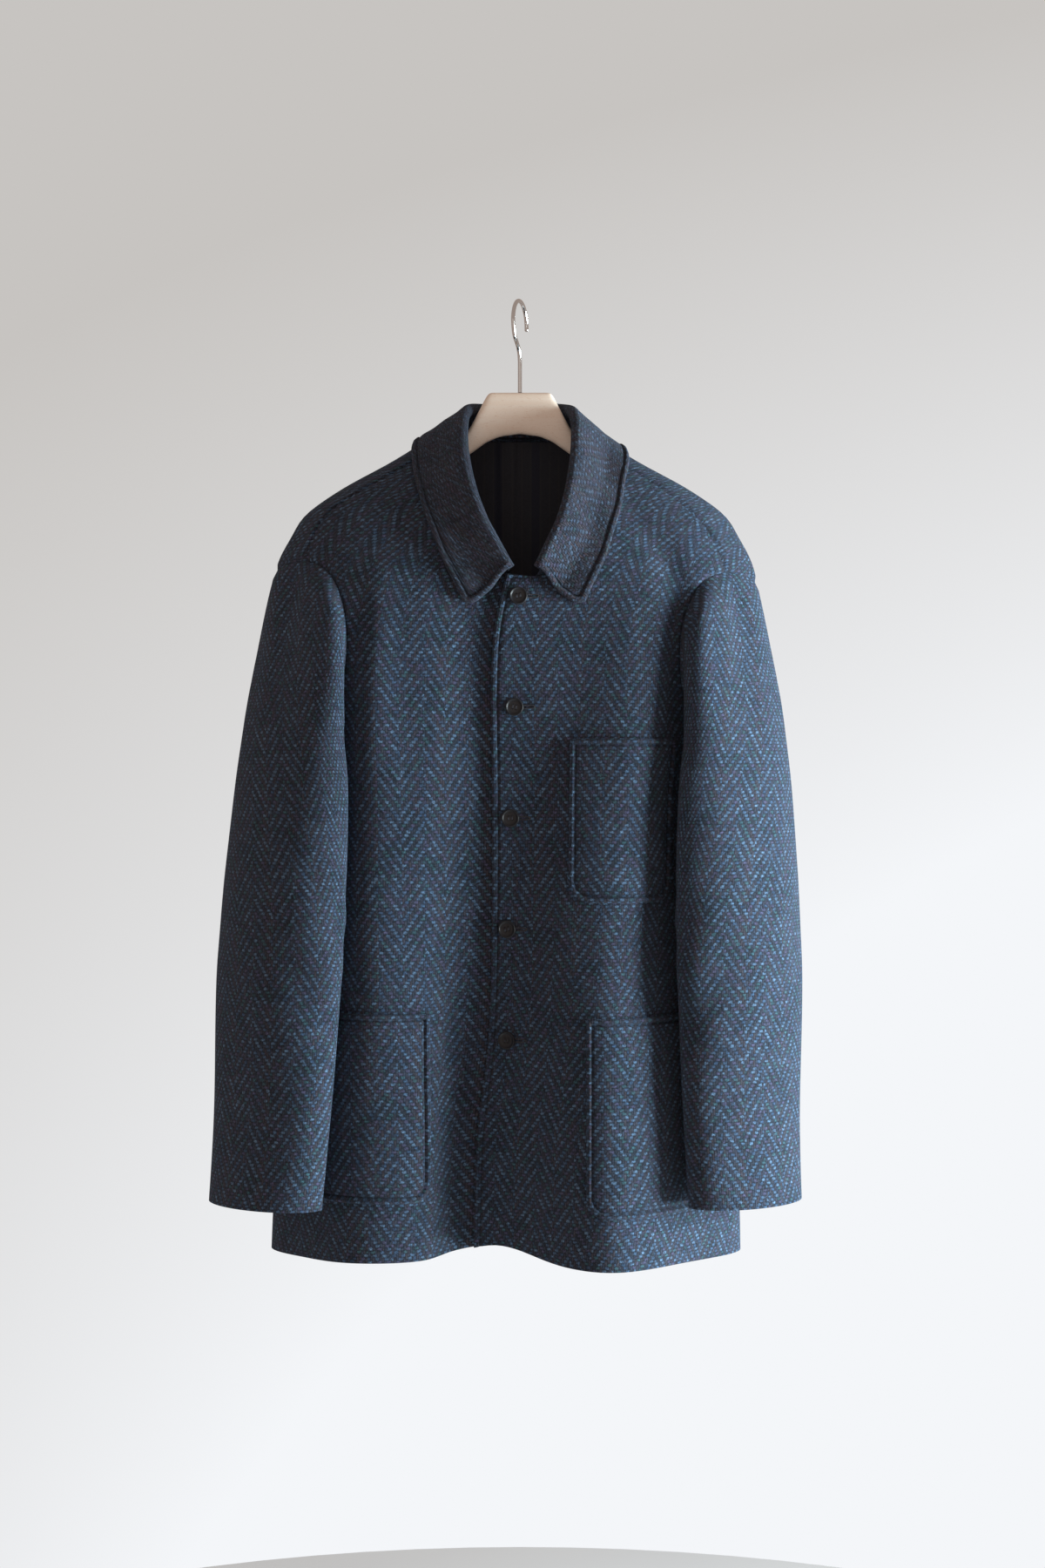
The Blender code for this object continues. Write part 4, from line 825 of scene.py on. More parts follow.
def corner_normals(points, faces):
    """Each point's normal, from the angles of its faces, and on a border the way into the surface."""
    normals = np.zeros_like(points)
    flat = face_normals(points, faces)
    flat /= lengths(flat)
    for k in range(3):
        here, after, before = (points[faces[:, (k + step) % 3]] for step in range(3))
        after, before = after - here, before - here
        cosine = (after * before).sum(axis=1, keepdims=True) / lengths(after) / lengths(before)
        np.add.at(normals, faces[:, k], flat * np.arccos(np.clip(cosine, -1, 1)))
    inwards = np.zeros_like(points)
    edges, inward = border(points, faces)
    for ends in edges.T:
        np.add.at(inwards, ends, inward)
    used = np.linalg.norm(normals, axis=1) > 0
    normals[used] /= lengths(normals[used])
    inwards[used] /= lengths(inwards[used])
    return normals, inwards


def torso_sheet(*grids, out=0.0):
    """A sheet of grids of places on the body. Each comes with whether it runs the other way."""
    return Sheet(*((torso(found, out), found, flip) for found, flip in grids))


print("sheets ready")


# %% [markdown]
# ## Pieces and their weave
# The weave follows the cut: stripes run up and down each panel and lean with it. An image would
# be the usual way, with a UV map. Here the map, named Cloth, is in metres of cloth, so that the
# threads can be worked out from it at their real size. A second value, edge, is the distance to a
# turned edge.


# %% From a wall to a piece of the jacket
EDGE_ROUNDING = 0.0011
ROUNDED_FROM = math.radians(50)  # an edge that turns by more than this is rounded
SHARP_FROM = math.radians(60)  # and by more than this is shaded as sharp
PLAIN = 1.0  # the edge value of cloth that's far from any turned edge


def mesh_of(name, points, faces):
    """An object made of these points and faces."""
    mesh = bpy.data.meshes.new(name)
    mesh.from_pydata(np.asarray(points).tolist(), [], [list(map(int, face)) for face in faces])
    piece = bpy.data.objects.new(name, mesh)
    bpy.context.collection.objects.link(piece)
    return piece


def map_cloth(mesh, cloth, edge):
    """Stores each point's place on the cut, as a UV map, and its distance to a turned edge."""
    corners = cloth[np.array([loop.vertex_index for loop in mesh.loops])].reshape(-1, 3, 2)
    turn = cloth[:, 0].max() - cloth[:, 0].min()
    behind = corners[..., 0].max(axis=1, keepdims=True) - corners[..., 0] > turn / 2
    corners[..., 0] += behind * turn
    mesh.uv_layers.new(name="Cloth").data.foreach_set("uv", corners.reshape(-1))
    distance = mesh.attributes.new("edge", "FLOAT", "POINT")
    distance.data.foreach_set("value", np.full(len(cloth), PLAIN) if edge is None else edge)


def add_piece(name, points, faces, finish, slot, cloth=None, edge=None, rounding=EDGE_ROUNDING):
    """Makes a piece that rides on the part. cloth has the place of each point on the cut."""
    piece = mesh_of(name, points, faces)
    mesh = piece.data
    mesh.materials.append(finish)
    if cloth is not None:
        map_cloth(mesh, cloth, edge)
    mesh.shade_smooth()
    if rounding:
        bevel = piece.modifiers.new("rounded edges", "BEVEL")
        bevel.limit_method = "ANGLE"
        bevel.angle_limit = ROUNDED_FROM
        bevel.width = rounding
        bevel.segments = 2
    mesh.set_sharp_from_angle(angle=SHARP_FROM)
    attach(piece, "root")
    print(f"{name}: {len(faces)} faces")
    return piece


def doubled(values):
    """The same values for a wall's inner points."""
    return np.concatenate([values, values])


def wall_cloth(cloth):
    """The cut's places on a wall, with the inner face a thickness further on."""
    return np.concatenate([cloth, cloth + CLOTH])


# %% [markdown]
# ## The turned edge
# The front, the collar and the pockets have an edge that is turned in and stitched down. It reads
# as a soft roll with a groove along the stitches. It could be a bump in the material, but a shape
# that catches light at its own size belongs in the mesh, so rows of points are set close together
# there.


# %% The roll and the groove along an edge
ROLL_WIDTH = 0.0058
ROLL_HEIGHT = 0.0012
ROLL_SLOPE = 0.0016  # over which it rises at the edge, and falls again
GROOVE_AT = 0.0060
GROOVE_HALF = 0.0011
GROOVE_DEPTH = 0.0013
EDGE_STEPS = np.array(
    [0.0, 0.0008, 0.0018, 0.0030, 0.0040, 0.0048, 0.0054, 0.0060, 0.0066, 0.0073, 0.0083]
)


def trough(distance, at, half, depth):
    """A groove with soft sides, this deep at one distance from the edge."""
    return depth * np.exp(-(((distance - at) / half) ** 2))


def turned_edge(distance):
    """How far the outer face stands out at each distance from the edge."""
    rise = smooth(distance / ROLL_SLOPE) * smooth((ROLL_WIDTH - distance) / ROLL_SLOPE)
    return ROLL_HEIGHT * rise - trough(distance, GROOVE_AT, GROOVE_HALF, GROOVE_DEPTH)


print("groove at", GROOVE_AT)


# %% [markdown]
# ## Shader maths
# Blender's material nodes can be wired by hand, but a weave needs dozens of Math nodes. A small
# class holds a socket and turns Python's arithmetic into those nodes, so a formula reads as a
# formula.


# %% A socket with arithmetic
class Shade:
    """A socket of a material's nodes. Arithmetic on it adds Math nodes."""

    def __init__(self, tree, socket):
        self.tree = tree
        self.socket = socket

    def node(self, kind, settings=(), out=0, **inputs):
        """Adds any other node: its settings are set first, then its sockets' values or links."""
        made = self.tree.nodes.new(kind)
        for name, value in dict(settings).items():
            setattr(made, name, value)
        for name, value in inputs.items():
            key = int(name[1:]) if name[1:].isdigit() else name.replace("_", " ")
            socket = made.inputs[key]
            if isinstance(value, Shade):
                self.tree.links.new(value.socket, socket)
            else:
                socket.default_value = value
        return Shade(self.tree, made.outputs[out])

    def math(self, operation, *others, clamp=False):
        values = {f"i{i}": value for i, value in enumerate((self, *others))}
        return self.node("ShaderNodeMath", {"operation": operation, "use_clamp": clamp}, **values)

    def __add__(self, other):
        return self.math("ADD", other)

    def __mul__(self, other):
        return self.math("MULTIPLY", other)

    def __sub__(self, other):
        return self.math("SUBTRACT", other)

    def __truediv__(self, other):
        return self.math("DIVIDE", other)

    def __mod__(self, other):
        return self.math("FLOORED_MODULO", other)

    def __gt__(self, other):
        return self.math("GREATER_THAN", other)

    def __lt__(self, other):
        return self.math("LESS_THAN", other)

    def __pow__(self, other):
        return self.math("POWER", other)

    def __rsub__(self, other):
        return (self * -1) + other

    __radd__ = __add__
    __rmul__ = __mul__

    def floor(self):
        return self.math("FLOOR")

    def limited(self):
        """The same number, held between 0 and 1."""
        return self.math("MULTIPLY", 1.0, clamp=True)

    def mix(self, low, high):
        """Colour low where this is 0, and high where it's 1."""
        values = {"i0": self, "i6": low, "i7": high}
        return self.node("ShaderNodeMix", {"data_type": "RGBA"}, out=2, **values)

    def choose(self, low, high):
        """Number low where this is 0, and high where it's 1."""
        return (self * -1 + 1) * low + self * high


def finish_of(name, roughness=0.5, **fixed):
    """A new material, its shader, and a Shade to start formulas from."""
    made = bpy.data.materials.new(name)
    made.use_nodes = True
    tree = made.node_tree
    shader = tree.nodes["Principled BSDF"]
    shader.inputs["Roughness"].default_value = roughness
    for socket, value in fixed.items():
        shader.inputs[socket.replace("_", " ")].default_value = value
    return made, shader, Shade(tree, None)


def feed(shader, socket, shade):
    """Links a value to one of the shader's sockets."""
    shade.tree.links.new(shade.socket, shader.inputs[socket])


def bump(shader, height, distance, strength):
    raised = {"Height": height, "Distance": distance, "Strength": strength}
    feed(shader, "Normal", height.node("ShaderNodeBump", **raised))


def colour(red, green, blue):
    """A colour as the eye names it, from 0 to 255, turned into amounts of light."""
    parts = [c / 255 for c in (red, green, blue)]
    return (*(((c + 0.055) / 1.055) ** 2.4 if c > 0.04 else c / 12.92 for c in parts), 1.0)


print("shader maths ready")


# %% [markdown]
# ## The herringbone wool
# The cloth is a twill: each thread passes over two and under two, one step further in each row,
# and every nine threads the steps turn back, which makes the V. Light blue threads run across
# dark ones, and the nap blurs them. The same formula gives the colour and the height, so that the
# dots stand out.


# %% Small helpers for finishes
def noise(at, scale, detail=2.0, **inputs):
    """Soft random values. The larger the scale, the finer they are."""
    return at.node("ShaderNodeTexNoise", Vector=at, Scale=scale, Detail=detail, **inputs)


def axis_of(vector, axis):
    """One number of a vector: 0, 1 or 2 for x, y or z."""
    return vector.node("ShaderNodeSeparateXYZ", out=axis, Vector=vector)


def in_space(start):
    """The place in the part's own metres."""
    return start.node("ShaderNodeTexCoord", out=3)


def on_cloth(start):
    """The place on the cut, in metres."""
    return start.node("ShaderNodeUVMap", {"uv_map": "Cloth"})


print("a mid grey is", round(colour(128, 128, 128)[0], 3))


# %% The weave
WARP_STEP = 0.00225  # from one lengthwise thread to the next
WEFT_STEP = 0.0032
THREADS_EACH_WAY = 10  # before the herringbone turns
UNDER = 4.0  # threads in one repeat of the twill: over two and under two


def twill(u, v):
    """The weave at u lengthwise and v crosswise threads.

    Gives the thread's own numbers, whether a light one is over, and how round it is here.
    """
    end, pick = u.floor(), v.floor()
    across, upward = u - end, v - pick
    turn = end % (2 * THREADS_EACH_WAY)
    back = turn > THREADS_EACH_WAY - 0.5
    step = back.choose(turn, turn * -1 + (2 * THREADS_EACH_WAY - 1))
    phase = (pick - step - back * 2) % UNDER
    over = phase < 1.5
    second = over.choose(phase - 2, back.choose(phase * -1 + 1, phase))
    length_along = (over.choose(upward, across) + second) / 2
    width_across = over.choose(across, upward)
    belly = 1 - ((width_across * 2 - 1) ** 2.0)
    crown = 1 - ((length_along * 2 - 1) ** 4.0)
    round_thread = (belly * crown).math("MAXIMUM", 0.0) ** 0.6
    return end + (second * over * -1), end, pick, over, round_thread


print("one repeat is", round(2 * THREADS_EACH_WAY * WARP_STEP, 4), "m wide")


# %% The wool's colours and nap
# How fine each kind of unevenness in the yarn is
SWAY_ENDS, SWAY_PICKS, RAGGED = 260.0, 300.0, 1150.0
BLOTCH, SPECK, FLECK, LOOSE, FLUFF, FIBRE = 45.0, 470.0, 620.0, 900.0, 1500.0, 3800.0
PALE_BLUES = colour(58, 90, 126), colour(106, 142, 176)
VIOLET, TEAL = colour(86, 88, 122), colour(62, 106, 118)
BROWN_FLECK, TEAL_FLECK = colour(98, 84, 78), colour(44, 72, 84)
NAP_HEIGHT = 0.0011


def yarn_colour(start, thread_place, end, light_shown, fleck_place, blotch, warm):
    """The mix of dark and pale yarn, with flecks of other wool in it."""
    each = start.node(
        "ShaderNodeTexWhiteNoise", {"noise_dimensions": "2D"}, Vector=thread_place
    )
    lengthwise = start.node("ShaderNodeTexWhiteNoise", {"noise_dimensions": "1D"}, W=end)
    brown, navy = colour(64 + warm, 57, 62 - warm / 2), colour(50 + warm, 57, 73 - warm)
    dark = lengthwise.mix(brown, navy)
    dark = (blotch > 0.56).mix(dark, colour(46 + warm, 48, 57 - warm / 2))
    light = each.mix(*PALE_BLUES)
    light = ((each * 7.3) % 1.0 > 0.80).mix(light, VIOLET)
    light = ((each * 5.9) % 1.0 < 0.16).mix(light, TEAL)
    fleck = noise(fleck_place, FLECK)
    yarn = (fleck > 0.70).mix(light_shown.mix(dark, light), BROWN_FLECK)
    return (fleck < 0.30).mix(yarn, TEAL_FLECK)


def herringbone(name, contrast, warm):
    """contrast is how far the light threads show, and warm how brown the dark ones are."""
    made, shader, start = finish_of(
        name, roughness=0.93, Sheen_Weight=0.22, Sheen_Roughness=0.55,
        Specular_IOR_Level=0.18, Sheen_Tint=colour(150, 170, 195),
    )
    place, solid = on_cloth(start), in_space(start)
    ragged = noise(solid, RAGGED, out=1)
    sway_ends, sway_picks = noise(solid, SWAY_ENDS, 1.0) - 0.5, noise(place, SWAY_PICKS, 1.0) - 0.5
    u = axis_of(place, 0) / WARP_STEP + sway_ends * 0.5 + (axis_of(ragged, 0) - 0.5) * 0.9
    v = axis_of(place, 1) / WEFT_STEP + sway_picks * 0.45 + (axis_of(ragged, 1) - 0.5) * 0.9
    own, end, pick, over, round_thread = twill(u, v)
    height = over.choose(round_thread * 0.85, round_thread)

    # The nap hides part of the weave and lets loose fibres of the pale yarn show beside it
    fluff, fine = noise(solid, FLUFF, 3.0), noise(solid, FIBRE, 1.0)
    nap = ((fluff - 0.5) * 2.0 + (fine - 0.5) * 1.4 + 0.42).limited()
    loose = (fluff - 0.42) * 0.6 + (noise(solid, LOOSE) - 0.5) * (1.1 - contrast)
    shown = over * (round_thread * 0.8 + 0.2) * (nap * 0.8 + 0.3) * contrast
    thread_place = start.node("ShaderNodeCombineXYZ", X=own, Y=pick, Z=0.0)
    blotch = noise(solid, BLOTCH, 3.0)
    cloth = yarn_colour(start, thread_place, end, (shown + loose).limited(), place, blotch, warm)

    # Painted shade darkens the gaps between the threads, mottled by random specks, and more painted shade
    # darkens the stitch groove
    gap_shade_and_specks = (round_thread * 0.9 + 0.12) * (nap * 0.8 + 0.64)
    gap_shade_and_specks = gap_shade_and_specks * (noise(solid, SPECK, 3.0) * 2.2 - 0.08)
    edge = start.node("ShaderNodeAttribute", {"attribute_name": "edge"}, out=2)
    groove = ((edge - GROOVE_AT) / (GROOVE_HALF * 1.2)) ** 2.0
    # painted shade along the stitch groove, on top of the painted shade between the threads
    depth = gap_shade_and_specks * (1 - (groove * -1).math("EXPONENT") * 0.35)
    # grey holds the painted shade with its specks, which multiplies the cloth's colour
    grey = start.node("ShaderNodeCombineXYZ", X=depth, Y=depth, Z=depth)
    multiply = {"data_type": "RGBA", "blend_type": "MULTIPLY"}
    shaded = start.node("ShaderNodeMix", multiply, out=2, i0=1.0, i6=cloth, i7=grey)
    feed(shader, "Base Color", shaded)
    feed(shader, "Roughness", nap * 0.08 + 0.88)
    bump(shader, height * 0.8 + (fluff - 0.5) * 0.9 + (fine - 0.5) * 0.35, NAP_HEIGHT, 0.9)
    return made


wool = herringbone("herringbone wool", 0.80, 0)
collar_wool = herringbone("brushed herringbone wool", 0.42, 5)
print("wool nodes:", len(wool.node_tree.nodes))


# %% [markdown]
# ## The other finishes
# The lining, the buttons, their thread, the wood and the wire each need only a few nodes. A plain
# colour would do for a test, but real things are never quite even: the lining has faint stripes,
# the beech has grain and pores, and the rest drift a little in colour and gloss.


# %% Lining, buttons, thread, wood and wire
STRIPE_STEP = 0.0095
BAND_STEP = 0.038
SATIN_RIB = 0.00045
GRAIN_STRETCH = (9.0, 60.0, 150.0)  # long along the bar and fine across it
PORE_STRETCH = (260.0, 900.0, 2200.0)


def stripes(across, step, half):
    """1 on stripes this far apart, whose half width is this part of the step."""
    return ((across / step) % 1.0 - 0.5).math("ABSOLUTE") < half


def lining_finish():
    made, shader, start = finish_of(
        "lining", roughness=0.62, Sheen_Weight=0.12, Specular_IOR_Level=0.3
    )
    place = on_cloth(start)
    across, up = axis_of(place, 0), axis_of(place, 1)
    uneven = noise(place, 420.0, 3.0)
    base = uneven.mix(colour(38, 40, 48), colour(54, 54, 62))
    base = (stripes(across, BAND_STEP, 0.13) * 0.6).mix(base, colour(32, 36, 54))
    thin = stripes(across, STRIPE_STEP, 0.09) * (uneven * 0.8 + 0.2)
    feed(shader, "Base Color", thin.mix(base, colour(56, 54, 58)))
    rib = (across / SATIN_RIB).math("SINE") * (up / SATIN_RIB).math("SINE")
    bump(shader, rib * 0.3 + uneven * 0.7, 0.0004, 0.5)
    return made


def beech_finish():
    made, shader, start = finish_of(
        "hanger beech", roughness=0.45, Coat_Weight=0.12, Coat_Roughness=0.25
    )
    solid = in_space(start)
    stretch = {"operation": "MULTIPLY"}
    along_grain = start.node("ShaderNodeVectorMath", stretch, i0=solid, i1=GRAIN_STRETCH)
    along_pores = start.node("ShaderNodeVectorMath", stretch, i0=solid, i1=PORE_STRETCH)
    grain = noise(along_grain, 1.0, 5.0, Distortion=0.6)
    pores = noise(along_pores, 1.0)
    wood = grain.mix(colour(248, 226, 204), colour(254, 242, 228))
    feed(shader, "Base Color", ((pores > 0.64) * 0.5).mix(wood, colour(226, 192, 162)))
    feed(shader, "Roughness", grain * 0.2 + 0.36)
    bump(shader, pores * 0.6 + grain * 0.4, 0.0003, 0.3)
    return made


def drifting(name, scale, detail, low, high, gloss=None, depth=None, twist=0.0, **fixed):
    """A finish whose colour drifts from low to high, and its gloss and height with it."""
    made, shader, start = finish_of(name, **fixed)
    drift = noise(in_space(start), scale, detail, Distortion=twist)
    feed(shader, "Base Color", drift.mix(low, high))
    if gloss:
        feed(shader, "Roughness", drift * gloss[0] + gloss[1])
    if depth:
        bump(shader, drift, *depth)
    return made


lining_cloth = lining_finish()
beech = beech_finish()
button_finish = drifting(
    "buttons", 180.0, 4.0, colour(12, 14, 18), colour(26, 28, 34),
    gloss=(0.2, 0.3), depth=(0.0002, 0.35), twist=1.5, roughness=0.4, Specular_IOR_Level=0.45,
)
thread = drifting(
    "sewing thread", 2600.0, 2.0, colour(20, 20, 26), colour(52, 52, 62),
    depth=(0.0003, 0.8), roughness=0.8, Sheen_Weight=0.2,
)
chrome = drifting(
    "hook chrome", 700.0, 4.0, colour(214, 214, 214), colour(232, 232, 230),
    gloss=(0.12, 0.07), roughness=0.12, Metallic=1.0,
)
print("finishes:", sorted(made.name for made in bpy.data.materials if made.use_nodes))


# %% [markdown]
# ## Where the stripes lie
# On the fronts the herringbone runs beside the free edge, so its map counts from there. On the
# back it counts from the middle, and on a sleeve from the line down the top of the arm.


# %% Metres of cloth round the body
def run_lengths(grid, axis):
    """Metres from the first point to each other one, along one way of a grid of points."""
    steps = np.linalg.norm(np.diff(grid, axis=axis), axis=2)
    pad = np.zeros_like(np.take(steps, [0], axis=axis))
    return np.concatenate([pad, np.cumsum(steps, axis=axis)], axis=axis)


BACK_MIDDLE = 1.5  # round the body
RUNS = run_lengths(RINGS, 1)[..., None]


def run_at(around, z, turns=0):
    """Metres round the ring at height z, from the side at -X, and this many turns more."""
    row = level_of(z)
    within = bilinear(RUNS, row, (around % 2) / 2 * (len(ROUND) - 1))
    turn = bilinear(RUNS, row, np.full_like(row, len(ROUND) - 1.0))
    return (within + turns * turn)[..., 0]


def front_cloth(places, shift):
    """The cut's places on a front, counted from the free edge of the front that laps over."""
    z = places[:, 1]
    at = np.minimum(z, FRONT_TOP_Z[1])
    edge = np.array([around_at(PLACKET("edge_x", height), height) for height in at])
    return np.stack([run_at(places[:, 0], z) - run_at(edge, at) + shift, z], axis=1)


def back_cloth(places):
    """The cut's places on the back, counted from its middle, and a turn further on."""
    z = places[:, 1]
    middle = run_at(np.full_like(z, BACK_MIDDLE), z)
    return np.stack([run_at(places[:, 0], z, turns=1) - middle, z], axis=1)


print("round the chest:", run_at(np.array([1.9999]), np.array([-0.5])).round(3))


# %% [markdown]
# ## Fronts and back
# Each panel is one wall between its seams. Modelling them as one body tube would be quicker, but
# they are cut apart on the real jacket, and the seams show where their edges meet.


# %% Cut the panels
LEFT_SHIFT = 0.0035  # moves the herringbone so that its turns lie as on the photographed jacket
RIGHT_SHIFT = -0.0010
UPPER_COLUMN = 0.0053  # the width of a column of the front that laps over


def finer_columns(grid, steps):
    """The same grid with columns at other steps: 1 is from one column to the next."""
    low = np.minimum(steps.astype(int), grid.shape[1] - 2)
    share = (steps - low)[None, :, None]
    return grid[:, low] * (1 - share) + grid[:, low + 1] * share


over = front_places(1, lambda z: PLACKET("edge_x", z))
over = finer_columns(over, np.append(EDGE_STEPS / UPPER_COLUMN, np.arange(2, FRONT_COLUMNS)))
under = front_places(-1, lambda z: PLACKET("edge_x", z) + FRONT_OVERLAP)
main, flaps = back_places()
front_left = torso_sheet((over, False))
front_right = torso_sheet((under, True), out=lap_out(under))
back = torso_sheet((main, False), (flaps[1], True), (flaps[-1], False))
print("points:", len(front_left.points), len(front_right.points), len(back.points))


# %% [markdown]
# ## Sleeves
# A sleeve is a tube that leaves the armhole's shape and becomes an oval, bent slightly forward,
# as an arm is. Its first row is the armhole seam itself. A few broad creases gather at the elbow
# and below the shoulder, where the cloth's own weight folds it.


# %% Sizes and points of a sleeve
# Sleeves, as if at +X, with x from the jacket's middle. Seen from above, a section is a chord
# from the front inside of the arm to its back outside. It bulges forward as far as makes the
# outline reach its distance from the middle, and backward by its own amount.
SLEEVE = Table(
    "z inner_x inner_y outer_x outer_y back_bulge",
    (-0.250, 0.168, -0.050, 0.200, 0.030, 0.020),
    (-0.330, 0.155, -0.092, 0.215, 0.065, 0.020),
    (-0.400, 0.156, -0.104, 0.240, 0.052, 0.022),
    (-0.490, 0.158, -0.112, 0.262, 0.018, 0.022),
    (-0.600, 0.160, -0.117, 0.277, -0.012, 0.026),
    (-0.740, 0.166, -0.119, 0.280, -0.030, 0.027),
    (-0.890, 0.176, -0.125, 0.282, -0.042, 0.023),
)
SLEEVE_OUTLINE = Table(
    "z reach",
    (-0.250, 0.2325),
    (-0.270, 0.2400),
    (-0.300, 0.2480),
    (-0.350, 0.2575),
    (-0.400, 0.2665),
    (-0.450, 0.2735),
    (-0.500, 0.2783),
    (-0.600, 0.2846),
    (-0.680, 0.2864),
    (-0.800, 0.2855),
    (-0.890, 0.2880),
)
SLEEVE_ROWS = 16 * FINER
# Where the armhole meets the sleeve's section, in degrees, the part of the sleeve's length over
# which it leaves the armhole's shape, and how far it's pushed off the torso on the way. along is
# 0 at the underarm, 1 at the crest, 2 at the shoulder's end and 3 at the underarm again.
SEAM_TURN = Table(
    "along turn blend push",
    (0.00, 294, 0.14, 0.013),
    (0.22, 254, 0.16, 0.010),
    (0.45, 214, 0.22, 0.010),
    (0.67, 172, 0.28, 0.010),
    (0.89, 149, 0.30, 0.008),
    (1.00, 133, 0.30, 0.000),
    (1.50, 98, 0.30, 0.000),
    (2.00, 62, 0.30, 0.000),
    (2.22, 36, 0.33, 0.006),
    (2.45, 8, 0.33, 0.010),
    (2.70, -32, 0.25, 0.013),
    (3.00, -66, 0.14, 0.013),
)
SLEEVE_FORWARD = {1: 0.0, -1: 0.012}  # the sleeve at -X hangs further to the front, lower down
SLEEVE_CREASES = (
    # turn and z of one end, turn and z of the other, width, height out of the cloth
    (150, -0.300, 185, -0.430, 0.016, 0.0026),
    (200, -0.330, 170, -0.460, 0.016, -0.0024),
    (95, -0.330, 120, -0.520, 0.022, -0.0022),
    (140, -0.560, 200, -0.640, 0.020, -0.0022),
    (205, -0.600, 160, -0.690, 0.018, 0.0024),
    (120, -0.640, 175, -0.720, 0.018, -0.0018),
    (70, -0.560, 110, -0.700, 0.024, 0.0020),
    (160, -0.740, 150, -0.870, 0.022, 0.0018),
    (40, -0.420, 50, -0.640, 0.022, -0.0020),
)
ARM_RADIUS = 0.058  # to turn degrees into metres for the creases
TWIST_LENGTH = 0.7  # the part of the sleeve over which its points even out round the arm
CREASES_FROM = 0.12  # the part of its length over which the creases come in
print("creases of a sleeve:", len(SLEEVE_CREASES))


# %% Points of a sleeve
def loop_steps():
    """Where each point of an armhole stands along it, as in SEAM_TURN."""
    counts = (ARM_FRONT_ROWS, ARM_TOP_ROWS, ARM_BACK_ROWS)
    return np.concatenate([i + np.arange(count) / count for i, count in enumerate(counts)])


def sleeve_turns():
    """How far round the arm each point is, row by row, and how far down the sleeve each row."""
    first = np.radians(SEAM_TURN("turn", loop_steps()))
    last = first[0] - 2 * math.pi * np.arange(len(first)) / len(first)
    down = np.linspace(0, 1, SLEEVE_ROWS + 1)[:, None]
    return first + (last - first) * smooth(down / TWIST_LENGTH), down


def sleeve_point(turn, z, side):
    """A point of the sleeve's outer face. turn is 0 at the back outside, a quarter in front."""
    inner = np.stack([SLEEVE("inner_x", z), SLEEVE("inner_y", z)], axis=-1)
    outer = np.stack([SLEEVE("outer_x", z), SLEEVE("outer_y", z)], axis=-1)
    half = (outer - inner) / 2
    normal = unit(np.stack([half[..., 1], -half[..., 0]], axis=-1))
    room = SLEEVE_OUTLINE("reach", z) - (inner + outer)[..., 0] / 2
    front_bulge = np.sqrt(np.maximum(room**2 - half[..., 0] ** 2, 0)) / normal[..., 0]
    sine = np.sin(turn)
    bulge = np.where(sine > 0, front_bulge, SLEEVE("back_bulge", z)) * sine
    flat = (inner + outer) / 2 + half * np.cos(turn)[..., None] + normal * bulge[..., None]
    x = LEAN("middle_x", z) + side * flat[..., 0]
    forward = SLEEVE_FORWARD[side] * smooth((-0.35 - z) / 0.25)
    return np.stack([x, flat[..., 1] - forward, z], axis=-1)


def sleeve_grid(side):
    """The sleeve's points, row by row from the armhole to the cuff."""
    loop = np.concatenate([stretch[:-1] for stretch in armhole(side)])
    start = torso(loop)
    turn, down = sleeve_turns()
    z = start[:, 2] + (CUFF_Z - start[:, 2]) * down
    points = sleeve_point(turn, z, side)
    blend = SEAM_TURN("blend", loop_steps())
    points += (start - points[0]) * (1 - smooth(down / blend))[..., None]
    push = SEAM_TURN("push", loop_steps()) * smooth(down / 0.05) * (1 - smooth(down / 0.4))
    return points + unit(torso(loop, 1.0) - start) * push[..., None]


def sleeve_crease_height(points, turn):
    """How far the sleeve's creases move its points out."""
    place = np.stack([turn * ARM_RADIUS, points[..., 2]], axis=-1)
    whole_turn = np.array([2 * math.pi * ARM_RADIUS, 0.0])
    total = 0.0
    for turn_a, z_a, turn_b, z_b, width, height in SLEEVE_CREASES:
        start = np.array([math.radians(turn_a) * ARM_RADIUS, z_a])
        end = np.array([math.radians(turn_b) * ARM_RADIUS, z_b])
        for shift in (-1, 0, 1):
            total = total + one_crease(place + shift * whole_turn, start, end, width, height)
    return total


print("rows of a sleeve:", SLEEVE_ROWS)


# %% [markdown]
# The sleeves are cut along the same armholes as the panels. Where they meet, both get the
# direction midway in the fold, and then each is drawn back by a hair, which leaves the line of
# the seam.


# %% Cut the sleeves and join the seams
SEAM_SHARE = 0.6  # of the gap, by which each of the two pieces is drawn back


def sleeve_sheet(side):
    """The sleeve as a sheet whose places are metres of its cut, from the top line of the arm."""
    grid = sleeve_grid(side)
    turn, down = sleeve_turns()
    around = np.roll(grid, -1, axis=1) - np.roll(grid, 1, axis=1)
    normals = np.cross(around, np.gradient(grid, axis=0))
    outward = ((grid - grid.mean(axis=1, keepdims=True)) * normals).sum(axis=-1, keepdims=True)
    normals *= np.sign(outward)
    height = sleeve_crease_height(grid, turn) * smooth(down / CREASES_FROM)
    grid = grid + normals / lengths(normals) * height[..., None]
    grid = np.concatenate([grid, grid[:, :1]], axis=1)
    run = run_lengths(grid, 1)
    top = ARM_FRONT_ROWS + ARM_TOP_ROWS // 2
    cut = np.stack([(run - run[:, top : top + 1]) * side, grid[..., 2]], axis=-1)
    return Sheet((grid, cut, side == 1))


